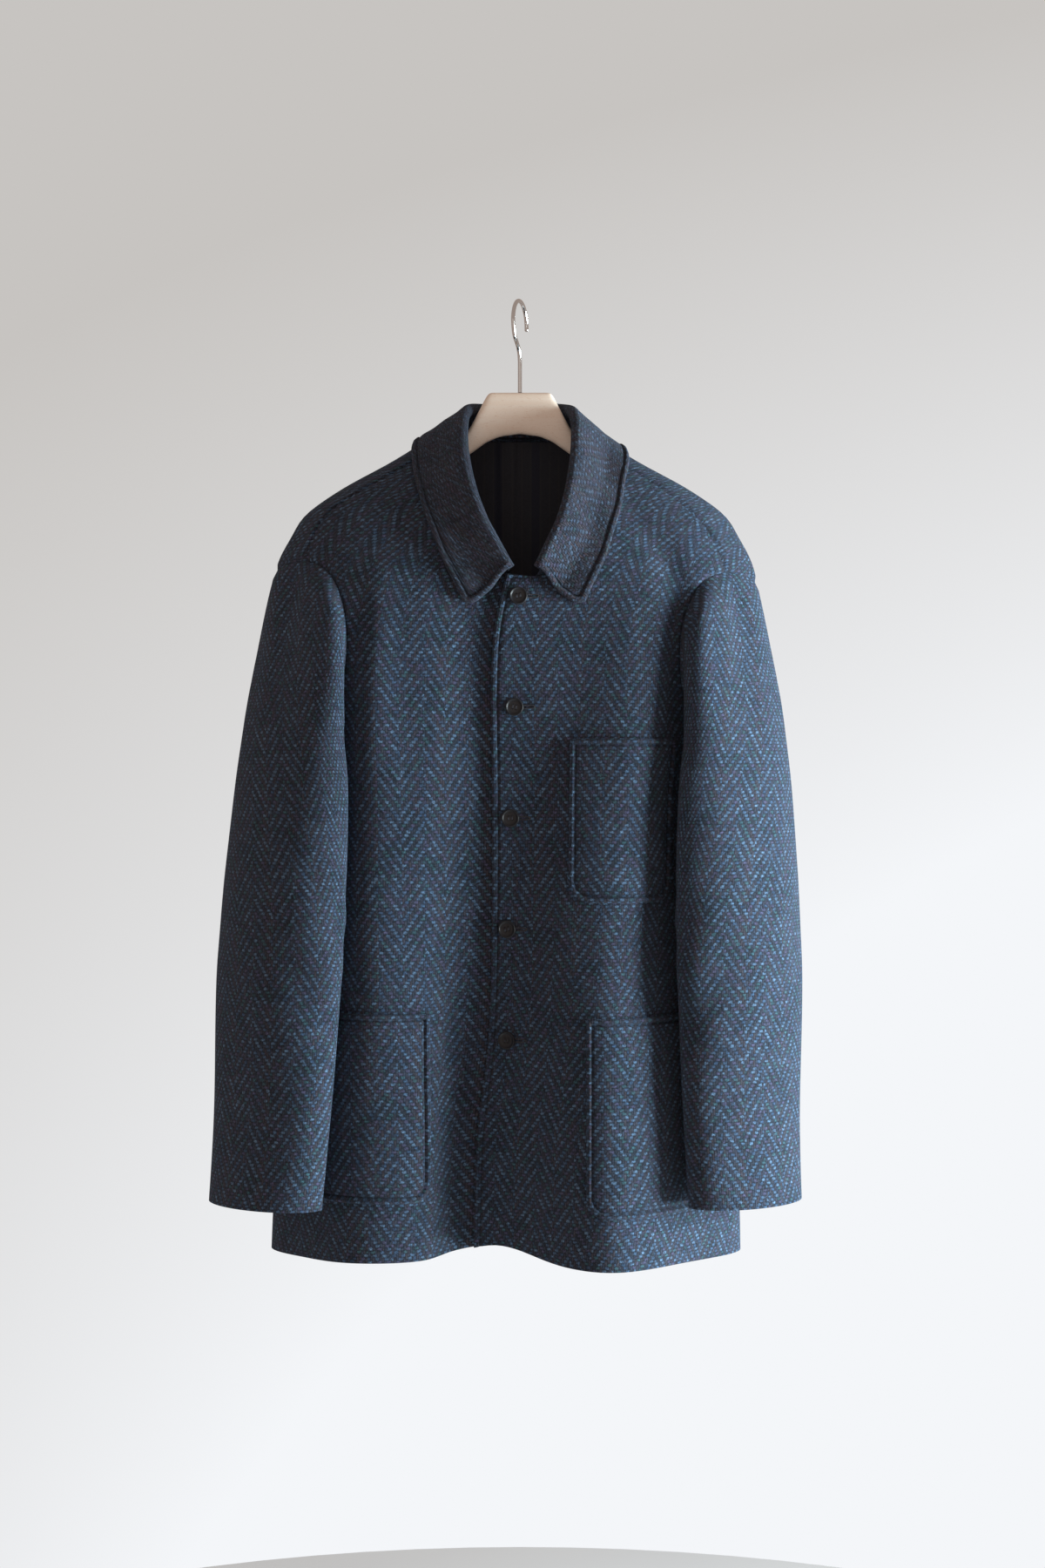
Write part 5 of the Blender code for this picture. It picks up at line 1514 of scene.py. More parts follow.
def neck_line(sheets):
    """The panels' edges round the neck: places, points and normals, from the end at +X."""
    neck = main[-1, SHOULDER_COLUMNS:-SHOULDER_COLUMNS]
    left = over[-NECK_ROWS:, 0]
    right = under[: -NECK_ROWS - 1 : -1, 0]
    found = np.concatenate(
        [left, flaps[1][-2::-1, 0], neck, flaps[-1][:-1, 0], right + (2, 0)]
    )
    outs = np.zeros(len(found))
    outs[-NECK_ROWS:] = lap_out(right)
    points = torso(found, outs)
    everything = np.concatenate([sheet.points for sheet in sheets])
    normals = np.concatenate([sheet.normals for sheet in sheets])
    nearest = [np.argmin(np.linalg.norm(everything - point, axis=1)) for point in points]
    return found, points, normals[nearest]


def shared_points(sheets):
    """For each sheet, which of its points another sheet has too."""
    everything = np.round(np.concatenate([sheet.points for sheet in sheets]), 6)
    _, index, uses = np.unique(everything, axis=0, return_inverse=True, return_counts=True)
    ends = np.cumsum([len(sheet.points) for sheet in sheets])[:-1]
    return dict(zip(map(id, sheets), np.split(uses[index.reshape(-1)] > 1, ends)))


sleeves = {side: sleeve_sheet(side) for side in (1, -1)}
panels = (front_left, front_right, back)
Sheet.share(panels, (sleeves[1],), (sleeves[-1],))
neck_edge = neck_line(panels)
sewn = shared_points((*panels, *sleeves.values()))
for sheet in (*panels, *sleeves.values()):
    sheet.pull_in(SEAM_GAP * SEAM_SHARE)
print("points round the neck:", len(neck_edge[0]))


# %% [markdown]
# Each panel now becomes a wall. The front that laps over has its turned edge down the free side,
# and along every seam the cloth dips, because the stitches pull it in.


# %% The panels' walls
SEAM_DIP = 0.0019  # a seam pulls the cloth in
FRONT_FLAT = (0.30, 0.83)
BACK_FLAT = (0.62, 0.85)
SLEEVE_FLAT = (0.44, 0.66)


def seated_edge(sheet):
    """How far each point of the upper front is from its free edge, in metres."""
    cloth = front_cloth(sheet.places, 0.0)
    return np.where(sheet.places[:, 1] < FRONT_TOP_Z[1] + 0.012, np.abs(cloth[:, 0]), PLAIN)


walls = {}
cuts = {
    # sheet, the cut's places on it, flat size, area in square metres
    "front_left": (front_left, front_cloth(front_left.places, LEFT_SHIFT), FRONT_FLAT, 0.200),
    "front_right": (front_right, front_cloth(front_right.places, RIGHT_SHIFT), FRONT_FLAT, 0.200),
    "back": (back, back_cloth(back.places), BACK_FLAT, 0.410),
    "sleeve_left": (sleeves[1], sleeves[1].places, SLEEVE_FLAT, 0.195),
    "sleeve_right": (sleeves[-1], sleeves[-1].places, SLEEVE_FLAT, 0.195),
}
for name, (sheet, cloth, flat, area) in cuts.items():
    edge = seated_edge(sheet) if name == "front_left" else np.full(len(sheet.points), PLAIN)
    relief = np.where(edge < PLAIN, turned_edge(edge), 0.0) - SEAM_DIP * sewn[id(sheet)]
    walls[name] = sheet.wall(CLOTH, relief=relief)
    piece = add_piece(name + "_cloth", *walls[name], wool, "wool", wall_cloth(cloth), doubled(edge))
    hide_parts(name)


# %% [markdown]
# ## Collar
# The collar is one strip folded along its roll: a stand inside the neck and a fall outside. It
# could be draped by simulation, but then its points wouldn't keep their place. The strip is
# computed from the neck seam, the roll and the fall's edge.


# %% The strip of the collar
ROLL_RADIUS = 0.006  # to the visible side
STAND_STEPS = 10
ROLL_STEPS = 16
FALL_STEPS = 16
FALL_LIFT = 0.0015  # between the fall's edge and the panel under it
FALL_FADE = 0.4  # the part of the fall over which it comes down to the panel
UNDER_FALL = 0.1  # where the fall starts to lie on the panel, from its seam to its edge
STAND_BEND = 0.4  # how strongly the stand curves towards the roll
NECK_SEARCH = 1441  # places along the neck among which the nearest to a point is found


def collar_ends(at):
    """The roll's points and the seam's and edge's places, where at runs round the neck."""
    last = len(COLLAR) - 1
    side = np.where(at >= 0, 1, -1)
    row = last - np.abs(at)
    knots = np.arange(-last, last + 1)
    rows = np.array([*COLLAR[:-1], *COLLAR[::-1]])
    signs = np.sign(np.append(np.arange(-last, 0), np.arange(0, last + 1)))
    roll = rows[:, 1:4].copy()
    roll[:, 0] = COLLAR_MIDDLE("middle_x", roll[:, 2]) - signs * roll[:, 0]
    roll = spline(knots, roll, at)
    lines = []
    for name in ("seam", "edge"):
        right = collar_line(name, 1, row)
        left = collar_line(name, -1, row) + (2, 0)
        lines.append(np.where((side < 0)[:, None], right, left))
    return roll, *lines


def halved(line):
    """The same line with a point added midway between each two."""
    made = np.zeros((2 * len(line) - 1, line.shape[1]))
    made[::2] = line
    made[1::2] = (line[1:] + line[:-1]) / 2
    return made


def collar_faces(neck_edge):
    """The collar's visible and hidden faces, as grids of one row a station.

    neck_edge is the line of the panels' edges that the collar is sewn to, from its end at +X:
    places, points and normals. The collar has a station at each of its points and midway.
    """
    neck_places, sewn_to, sewn_normal = (halved(line) for line in neck_edge)
    last = len(COLLAR) - 1
    fine = np.linspace(-last, last, NECK_SEARCH)
    line = metric(collar_ends(fine)[1])
    nearest = [np.argmin(np.linalg.norm(line - place, axis=1)) for place in metric(neck_places)]
    at = fine[nearest]
    at[0], at[-1] = -last, last
    roll, seam, edge = collar_ends(at)
    along_roll = unit(np.gradient(roll, axis=0))
    tip = torso(edge, FALL_LIFT + DOUBLE_CLOTH / 2)
    fall = tip - roll
    fall = unit(fall - along_roll * (fall * along_roll).sum(axis=1, keepdims=True))
    out = np.cross(fall, along_roll)
    out *= np.sign((out * (torso(edge, 1.0) - torso(edge))).sum(axis=1, keepdims=True))
    centre = roll + fall * ROLL_RADIUS
    under = seam + (edge - seam) * UNDER_FALL
    neckwards = unit(torso(seam) - torso(under)) * SEAM_GAP * 2.5
    grids = []
    for inset in (0.0, DOUBLE_CLOTH):
        radius = ROLL_RADIUS - inset
        start = sewn_to + sewn_normal * (inset - DOUBLE_CLOTH) + neckwards
        stand_top = centre - out * radius
        rise = np.linalg.norm(stand_top - start, axis=1, keepdims=True)
        bend = stand_top + fall * np.maximum(rise - ROLL_RADIUS, 0) * STAND_BEND
        rows = []
        for t in np.linspace(0, 1, STAND_STEPS + 1)[:-1]:
            rows.append((1 - t) ** 2 * start + 2 * t * (1 - t) * bend + t * t * stand_top)
        for turn in np.linspace(0, math.pi, ROLL_STEPS + 1)[:-1]:
            rows.append(centre - out * radius * math.cos(turn) - fall * radius * math.sin(turn))
        reach = np.linalg.norm(tip - centre, axis=1, keepdims=True)
        for t in np.linspace(0, 1, FALL_STEPS + 1):
            flying = centre + out * radius + fall * reach * t
            place = under + (edge - under) * t
            lying = torso(place, np.full(len(at), FALL_LIFT + DOUBLE_CLOTH - inset))
            down = smooth(t / FALL_FADE)
            rows.append(flying * (1 - down) + lying * down)
        grids.append(np.stack(rows, axis=1))
    return grids


def closed_strip(top, bottom):
    """Points and triangles of the solid between two grids of the same size."""
    rows, columns = top.shape[:2]
    index = np.arange(rows * columns).reshape(rows, columns)
    corners = index[:-1, 1:], index[1:, 1:], index[1:, :-1], index[:-1, :-1]
    upper = np.stack(corners, axis=-1).reshape(-1, 4)
    lower = rows * columns + upper[:, ::-1]
    rim = np.array([*index[0], *index[1:, -1], *index[-1, -2::-1], *index[-2:0:-1, 0]])[::-1]
    after = np.roll(rim, -1)
    sides = np.stack([rim, after, after + rows * columns, rim + rows * columns], axis=-1)
    quads = np.concatenate([upper, lower, sides])
    faces = np.stack([quads[:, [0, 1, 2]], quads[:, [0, 2, 3]]], axis=1).reshape(-1, 3)
    return np.concatenate([top.reshape(-1, 3), bottom.reshape(-1, 3)]), faces


print("steps over the collar:", STAND_STEPS + ROLL_STEPS + FALL_STEPS)


# %% [markdown]
# The strip is first computed evenly, and then read again at closer steps beside its turned edges,
# so that the roll and the stitch groove have points enough. Its two corners are rounded, because
# thick wool can't be turned to a sharp point, and the fall gets a faint waviness.


# %% Sew the collar on
POINT_ROUNDING = 0.017
FALL_FROM, FALL_IN = 0.030, 0.010  # where the fall starts, counted from the neck seam
WAVE_HEIGHT = 0.0006


def steps_at(run, wanted):
    """Where along a line, in its points, each wanted distance lies."""
    return np.interp(wanted, run, np.arange(len(run)))


def closer(run, evenly, both_ends):
    """Steps along a line: close together at its last end or at both, and even between."""
    last = len(run) - 1.0
    near_end = steps_at(run, run[-1] - EDGE_STEPS)
    near_start = steps_at(run, EDGE_STEPS) if both_ends else []
    return np.unique(np.concatenate([near_start, near_end, evenly, [0.0, last]]))


def read_at(grid, rows, columns):
    """The grid read at other rows and columns, which count from 0 and may be in between."""
    return bilinear(grid, *np.meshgrid(rows, columns, indexing="ij"))


def rounded_corners(along_neck, from_ends, from_tip, neck_ways, fall_ways):
    """How the points at the corners move: a square's outline there becomes a circle's."""
    to_end = np.maximum(POINT_ROUNDING - from_ends, 0)
    to_tip = np.maximum(POINT_ROUNDING - from_tip, 0)
    share = 1 - np.maximum(to_end, to_tip) / np.maximum(np.hypot(to_end, to_tip), 1e-9)
    inwards = np.where(along_neck < along_neck[-1:] / 2, 1.0, -1.0)
    moved = neck_ways * (inwards * to_end * share)[..., None]
    moved = moved - fall_ways * (to_tip * share)[..., None]
    return moved * ((to_end > 0) & (to_tip > 0))[..., None]


visible, hidden = collar_faces(neck_edge)
ends = run_lengths(visible, 0)[:, -1]
fall = run_lengths(visible, 1)[len(visible) // 4]
stations = closer(ends, np.arange(9, len(ends) - 9, 2.0), both_ends=True)
steps = closer(fall, np.arange(0, len(fall) - 3.0), both_ends=False)
visible, hidden = (read_at(face, stations, steps) for face in (visible, hidden))
along_neck, over_roll = run_lengths(visible, 0), run_lengths(visible, 1)
from_ends = np.minimum(along_neck, along_neck[-1:] - along_neck)
from_tip = over_roll[:, -1:] - over_roll
collar_edge = np.minimum(from_ends, from_tip)
on_fall = smooth((over_roll - FALL_FROM) / FALL_IN)
neck_ways, fall_ways = (np.gradient(visible, axis=axis) for axis in (0, 1))
neck_ways /= lengths(neck_ways)
fall_ways /= lengths(fall_ways)
outward = np.cross(neck_ways, fall_ways)
outward *= np.sign((outward * (visible - hidden)).sum(axis=-1, keepdims=True))
outward /= lengths(outward)
moved = rounded_corners(along_neck, from_ends, from_tip, neck_ways, fall_ways)
wave = np.sin(along_neck * 61 + over_roll * 40) * np.sin(over_roll * 75 + 1.3)
height = turned_edge(collar_edge) * on_fall + WAVE_HEIGHT * wave * on_fall
walls["collar"] = closed_strip(visible + moved + outward * height[..., None], hidden + moved)
cloth = np.stack([along_neck, over_roll], axis=-1).reshape(-1, 2)
edge = np.where(on_fall > 0, collar_edge, PLAIN).reshape(-1)
collar = add_piece(
    "collar_cloth", *walls["collar"], collar_wool, "wool", wall_cloth(cloth), doubled(edge)
)
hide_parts("collar")
print("collar stations:", len(stations), "edge run:", ends[-1].round(3))


# %% [markdown]
# ## Patch pockets
# A pocket is a second layer on the front, with rounded lower corners and the same turned edge.
# Its grid is its own: close together at all four sides, so that the roll and the stitch groove
# follow the corner.


# %% Lay the pockets on the fronts
POCKETS = {
    # x of its edge nearer the buttons, width, top z, bottom z, side, shift of the weave
    "pocket_chest": (0.0480, 0.112, -0.4370, -0.5935, 1, 0.011),
    "pocket_lower_left": (0.0640, 0.165, -0.7030, -0.8905, 1, 0.006),
    "pocket_lower_right": (-0.0865, 0.165, -0.7000, -0.8800, -1, 0.009),
}
POCKET_CORNER = 0.020
POCKET_PITCH = 0.0028  # from one row of points to the next, away from the edges
POCKET_AREA = 0.99  # as a part of width times height: the lower corners are cut off
PATCH_LIFT = 0.0003  # between a pocket and the panel under it
SECOND_GROOVE = (0.0100, 0.0009, 0.0006)  # its distance from the edge, half width and depth


def close_at_ends(length):
    """Steps from 0 to length: close together along both turned edges, and even between them."""
    pitches = round(length / POCKET_PITCH)
    inner = np.linspace(EDGE_STEPS[-1], length - EDGE_STEPS[-1], pitches)[1:-1]
    return np.concatenate([EDGE_STEPS, inner, length - EDGE_STEPS[::-1]])


def pocket_sheet(x, width, top_z, bottom_z, side):
    """The pocket's sheet and each point's distance to its edge."""
    height = top_z - bottom_z
    upward = close_at_ends(height)
    up, sideways = np.meshgrid(upward, close_at_ends(width), indexing="ij")
    near_side = np.minimum(sideways, width - sideways)
    into = np.maximum(POCKET_CORNER - near_side, 0)
    raised = POCKET_CORNER - np.sqrt(np.maximum(POCKET_CORNER**2 - into**2, 0))
    up = raised + up * (height - raised) / height
    straight = np.minimum(near_side, np.minimum(up, height - up))
    corner = POCKET_CORNER - np.hypot(into, POCKET_CORNER - up)
    distance = np.maximum(np.where((into > 0) & (up < POCKET_CORNER), corner, straight), 0)
    z = bottom_z + up
    inner_edge = [around_at(x, edge_z) for edge_z in bottom_z + upward]
    runs = run_at(np.interp(z, bottom_z + upward, inner_edge), z) + side * sideways
    rows = level_of(z).astype(int)
    around = [np.interp(run, RUNS[row, :, 0], ROUND) for run, row in zip(runs.flat, rows.flat)]
    found = np.stack([np.reshape(around, z.shape), z], axis=-1)
    points = torso(found, np.full(z.shape, PATCH_LIFT + CLOTH))
    sheet = Sheet((points, np.stack([sideways * side, z], axis=-1), side == -1))
    keys = map(tuple, np.round(points.reshape(-1, 3), 6))
    keyed = dict(zip(keys, distance.reshape(-1)))
    return sheet, np.array([keyed[tuple(np.round(point, 6))] for point in sheet.points])


for name, (*place, side, shift) in POCKETS.items():
    sheet, distance = pocket_sheet(*place, side)
    wall = sheet.wall(CLOTH, relief=turned_edge(distance) - trough(distance, *SECOND_GROOVE))
    cloth = wall_cloth(sheet.places + (shift, 0.0))
    piece = add_piece(name + "_cloth", *wall, wool, "wool", cloth, doubled(distance))
    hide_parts(name)
    _, width, top_z, bottom_z = place
    height = top_z - bottom_z
    width * height * POCKET_AREA


# %% [markdown]
# ## Lining
# Only what the neck shows of the lining is made: a thin sheet behind the back's inside, with a
# pleat down its middle, which stands into the jacket by about a millimetre.


# %% Line the back
LINING_LEFT, LINING_RIGHT = 1.13, 1.87  # round the body
LINING_BOTTOM, LINING_TOP = -0.500, -0.1315
LINING_ROWS, LINING_COLUMNS = 60, 170
LINING_EASE = 0.0005  # how loosely it lies behind the back
PLEAT = (-0.0235, -0.0025)  # its two folds, in metres from the jacket's middle
PLEAT_HEIGHT = 0.0011
PLEAT_FOLD = 0.004  # the width over which each fold rises

z, around = np.meshgrid(
    np.linspace(LINING_BOTTOM, LINING_TOP, LINING_ROWS),
    np.linspace(LINING_LEFT, LINING_RIGHT, LINING_COLUMNS), indexing="ij",
)
found = np.stack([around, z], axis=-1)
behind = -CLOTH - SEAM_GAP - LINING_EASE
x = torso(found, np.full(z.shape, behind))[..., 0]
pleat = PLEAT_HEIGHT * smooth((x - PLEAT[0]) / PLEAT_FOLD) * smooth((PLEAT[1] - x) / PLEAT_FOLD)
sheet = Sheet((torso(found, behind - pleat), np.stack([x, z], axis=-1), False))
cloth = wall_cloth(sheet.places)
lining = add_piece(
    "back_lining_cloth", *sheet.wall(LINING), lining_cloth, "lining", cloth, rounding=0
)
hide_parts("back_lining")


# %% [markdown]
# ## Buttons and buttonholes
# A turned button has a thin raised rim and a dished middle with four holes. One is turned and
# drilled with a Boolean, and then copied. The thread goes through the holes in two bars. Each
# buttonhole is a loop of thick dark stitches beside its button.


# %% Turn and drill a button
BUTTON_PROFILE = (
    # radius as a part of the button's, height in metres: from under the middle round to the top
    (0.00, 0.0000),
    (0.70, 0.0000),
    (0.90, 0.0006),
    (0.985, 0.0014),
    (1.00, 0.0021),
    (0.985, 0.0029),
    (0.95, 0.00335),
    (0.90, 0.0035),
    (0.855, 0.0034),
    (0.81, 0.0030),
    (0.76, 0.0024),
    (0.70, 0.0021),
    (0.45, 0.00195),
    (0.00, 0.0019),
)
HOLE_RADIUS = 0.00095
HOLE_FROM_MIDDLE = 0.0017  # along each side of the square that the four holes make
DISC_SIDES, HOLE_SIDES = 64, 20
DRILL_ENDS = (-0.002, 0.006)


def lathe(profile, sides):
    """Points and faces of a turned solid about +Z whose profile starts and ends on the axis."""
    points = [(0, 0, profile[0][1])]
    for radius, height in profile[1:-1]:
        for turn in 2 * math.pi * np.arange(sides) / sides:
            points.append((radius * math.cos(turn), radius * math.sin(turn), height))
    points.append((0, 0, profile[-1][1]))
    top = 1 + (len(profile) - 3) * sides
    faces = []
    for k in range(sides):
        after = (k + 1) % sides
        faces.append((0, 1 + after, 1 + k))
        for low in range(1, top, sides):
            faces.append((low + k, low + after, low + sides + after, low + sides + k))
        faces.append((top + k, top + after, len(points) - 1))
    return np.array(points), faces


def drilled_button():
    """Points and faces of a button with four holes."""
    disc = mesh_of("disc", *lathe([(r * BUTTON_WIDTH / 2, z) for r, z in BUTTON_PROFILE], DISC_SIDES))
    low, high = DRILL_ENDS
    drill, faces = lathe([(0, low), (HOLE_RADIUS, low), (HOLE_RADIUS, high), (0, high)], HOLE_SIDES)
    helpers = [disc]
    for k in range(4):
        turn = math.radians(45 + 90 * k)
        centre = np.array([math.cos(turn), math.sin(turn), 0]) * HOLE_FROM_MIDDLE * 2**0.5
        helpers.append(mesh_of(f"drill {k}", drill + centre, faces))
        cut = disc.modifiers.new(f"hole {k}", "BOOLEAN")
        cut.operation = "DIFFERENCE"
        cut.solver = "EXACT"
        cut.object = helpers[-1]
    drilled = disc.evaluated_get(bpy.context.evaluated_depsgraph_get()).to_mesh()
    drilled.calc_loop_triangles()
    points = np.array([vertex.co for vertex in drilled.vertices])
    faces = np.array([triangle.vertices for triangle in drilled.loop_triangles])
    for helper in helpers:
        bpy.data.objects.remove(helper)
    return points, faces


turned, turned_faces = drilled_button()
print("a button has", len(turned_faces), "faces")


# %% [markdown]
# Thread, wire and wood are all tubes: rings of points along a line, joined by faces. Blender's
# curves with a bevel would give the same, but a mesh made here can also be checked against the
# cloth around it.


# %% Tubes
HELPER_WAY = (0.31, 0.17, 0.93)  # any direction that no rod here runs along


def tube_faces(rings, sides, closed=False):
    """Faces that join rings of points to a tube. Its ends are filled, or with closed they meet."""
    index = np.arange(rings * sides).reshape(rings, sides)
    rows = np.concatenate([index, index[:1]]) if closed else index
    a, b = rows[:-1], rows[1:]
    quads = np.stack([a, np.roll(a, -1, axis=1), np.roll(b, -1, axis=1), b], axis=-1).reshape(-1, 4)
    faces = np.concatenate([quads[:, [0, 1, 2]], quads[:, [0, 2, 3]]])
    if closed:
        return faces
    start, end = index[0], index[-1]
    caps = [(start[0], start[k + 1], start[k]) for k in range(1, sides - 1)]
    caps += [(end[0], end[k], end[k + 1]) for k in range(1, sides - 1)]
    return np.concatenate([faces, caps])


def tube(path, first, second, radius, sides, closed=False):
    """A tube along a path, with two directions across it and one radius or one for each point."""
    turns = 2 * math.pi * np.arange(sides) / sides
    ring = first[:, None] * np.cos(turns)[:, None] + second[:, None] * np.sin(turns)[:, None]
    points = path[:, None] + np.broadcast_to(radius, len(path))[:, None, None] * ring
    return points.reshape(-1, 3), tube_faces(len(path), sides, closed)


def rod(path, radius, closed=False):
    """A thin round rod along a path that may form a loop."""
    ahead, back_to = np.roll(path, -1, axis=0), np.roll(path, 1, axis=0)
    heading = ahead - back_to if closed else np.gradient(path, axis=0)
    heading /= lengths(heading)
    first = np.cross(heading, HELPER_WAY)
    first /= lengths(first)
    return tube(path, first, np.cross(heading, first), radius, 8, closed)


def together(parts):
    """Several solids' points and faces as one."""
    counts = np.cumsum([0] + [len(points) for points, _ in parts])
    faces = [np.asarray(faces) + first for (_, faces), first in zip(parts, counts)]
    return np.concatenate([points for points, _ in parts]), np.concatenate(faces)


def tree_of(*solids):
    """A tree of the faces of several solids, to measure against."""
    points, faces = together(solids)
    return BVHTree.FromPolygons(points.tolist(), [list(map(int, face)) for face in faces])


front_tree = tree_of(walls["front_left"])
print("faces to rest a button on:", len(walls["front_left"][1]))


# %% [markdown]
# Each button lies on the front where its highest point under the rim is, turned a little, as a
# hand leaves it. Its buttonhole starts under it and runs to its right.


# %% Sew the buttons on
BUTTON_TILTS = (7, -11, 4, 16, -6)  # degrees, from the top one down
RAY_FROM = 0.010
STRAND = 0.0009  # the width of a strand of thread: two lie side by side over each pair of holes
STRAND_RISE = (0.0002, 0.0027)  # of its ends, and of its middle above them
LOOP_HALF = (0.0112, 0.0014)  # of a buttonhole's length and height
LOOP_MIDDLE = 0.0085  # to the right of the button's middle
LOOP_LIFT = 0.00035
STITCH_RADIUS, STITCHES = 0.00062, 46


def button_seat(number):
    """Where a button's underside rests on the front, and its right, up and outward directions."""
    z = FIRST_BUTTON_Z - BUTTON_STEP * number
    place = np.array([around_at(PLACKET("button_x", z), z), z])
    seat = torso(place, np.array(0.0))
    normal = unit(torso(place, np.array(1.0)) - seat)
    right = unit(np.cross((0, 0, 1), normal))
    up = np.cross(normal, right)
    heights = []
    for turn in np.linspace(0, 2 * math.pi, 12, endpoint=False):
        rim = BUTTON_WIDTH / 2 * (right * math.cos(turn) + up * math.sin(turn))
        *_, distance = front_tree.ray_cast(Vector(seat + rim + normal * RAY_FROM), Vector(-normal))
        heights.append(RAY_FROM - distance)
    return seat + normal * (max(heights) + PATCH_LIFT), np.stack([right, up, normal]), place


def strands():
    """The four strands of thread over a button, as paths in its own directions."""
    paths = []
    low, rise = STRAND_RISE
    for across in (-1, 1):
        for beside in (-0.45, 0.45):
            x = HOLE_FROM_MIDDLE * across + beside * STRAND
            arch = [(x, HOLE_FROM_MIDDLE * s, low + rise * (1 - s**4)) for s in np.linspace(-1, 1, 9)]
            paths.append(np.array(arch))
    return paths


def squared(wave, power):
    """A sine or cosine with a flatter top."""
    return np.sign(wave) * np.abs(wave) ** power


def buttonhole(place):
    """A loop of stitches on the front, from just under the button to its right."""
    turns = np.linspace(0, 2 * math.pi, 220, endpoint=False)
    x = LOOP_HALF[0] * squared(np.cos(turns), 0.55) + LOOP_MIDDLE
    z = place[1] + LOOP_HALF[1] * squared(np.sin(turns), 0.75)
    start = run_at(np.full_like(z, place[0]), z)
    run_each = (run_at(np.full_like(z, place[0] + 0.02), z) - start) / 0.02
    found = np.stack([place[0] + x / run_each, z], axis=1)
    radius = STITCH_RADIUS * (1 + 0.22 * np.sin(turns * STITCHES))
    return rod(torso(found, np.full(len(found), LOOP_LIFT)), radius, closed=True)


sewing = []
loops = []
for number, tilt in enumerate(np.radians(BUTTON_TILTS)):
    seat, axes, place = button_seat(number)
    cosine, sine = math.cos(tilt), math.sin(tilt)
    axes = np.array([[cosine, sine, 0], [-sine, cosine, 0], [0, 0, 1]]) @ axes
    name = f"button_{number + 1}"
    points = seat + turned @ axes
    made = add_piece(name + "_turned", points, turned_faces, button_finish, "button", rounding=0)
    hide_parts(name)
    sewing += [rod(seat + path @ axes, STRAND / 2) for path in strands()]
    loops.append(buttonhole(place))
buttonholes = add_piece("buttonhole_stitches", *together(loops), thread, "wool", rounding=0)
add_piece("button_thread", *together(sewing), thread, "button", rounding=0)


# %% [markdown]


# %% [markdown]
# ## Hanger
# The hanger is a bar of pale wood whose shoulders carry the cloth. Each section is raised until
# it just clears the cloth above it, as the jacket's own shoulders lie on it. The hook is a bent
# wire.


# %% The bar of wood
# The hanger: a bar of wood that rises to the middle, seen from the front as an arch. Under the
# shoulders it is raised or lowered until it just clears the cloth that hangs from it.
WOOD = (
    # x, top_z, bottom_z, depth
    (0.0000, -0.0896, -0.1305, 0.0120),
    (0.0200, -0.0896, -0.1333, 0.0120),
    (0.0312, -0.0896, -0.1380, 0.0120),
    (0.0330, -0.0925, -0.1388, 0.0120),
    (0.0480, -0.1215, -0.1495, 0.0130),
    (0.0530, -0.1300, -0.1530, 0.0135),
    (0.0610, -0.1350, -0.1590, 0.0140),
    (0.0700, -0.1385, -0.1640, 0.0150),
    (0.0800, -0.1400, -0.1690, 0.0160),
    (0.1050, -0.1520, -0.1840, 0.0170),
    (0.1300, -0.1670, -0.1980, 0.0180),
    (0.1550, -0.1815, -0.2105, 0.0180),
    (0.1780, -0.1950, -0.2215, 0.0180),
    (0.1920, -0.2060, -0.2290, 0.0150),
    (0.1975, -0.2140, -0.2260, 0.0080),
)
WOOD_SIDES = 48
WOOD_STATIONS = 241
WOOD_ROUNDING = 0.75  # 1 makes the section an ellipse, and less makes it squarer
WOOD_SMOOTHINGS = 3  # times that the corners of the table's outline are rounded
WOOD_REACH = 4  # stations to each side over which its height is evened out
CLEAR_FROM = 0.050  # from here out the wood is lowered where the collar would touch it
SEAT_FROM = 0.075  # and from here out it's seated under the cloth
SEAT_GAP = 0.0007


def wood_section(x, top, bottom, depth):
    """One section of the bar: an ellipse with fuller corners."""
    turns = 2 * math.pi * (np.arange(WOOD_SIDES) + 0.5) / WOOD_SIDES
    y = depth / 2 * squared(np.cos(turns), WOOD_ROUNDING)
    z = (top + bottom) / 2 + (top - bottom) / 2 * squared(np.sin(turns), WOOD_ROUNDING)
    return np.stack([np.full(WOOD_SIDES, x), y, z], axis=1)


def room_over(section, cover):
    """How far a section can rise before it touches what covers it."""
    middle = section[:, 2].mean()
    room = []
    for point in section[section[:, 2] > middle][::3]:
        under = Vector((point[0], point[1], middle - 0.02))
        *_, distance = cover.ray_cast(under, Vector((0, 0, 1)))
        if distance is not None:
            room.append(under.z + distance - point[2])
    return min(room, default=0.0) - SEAT_GAP


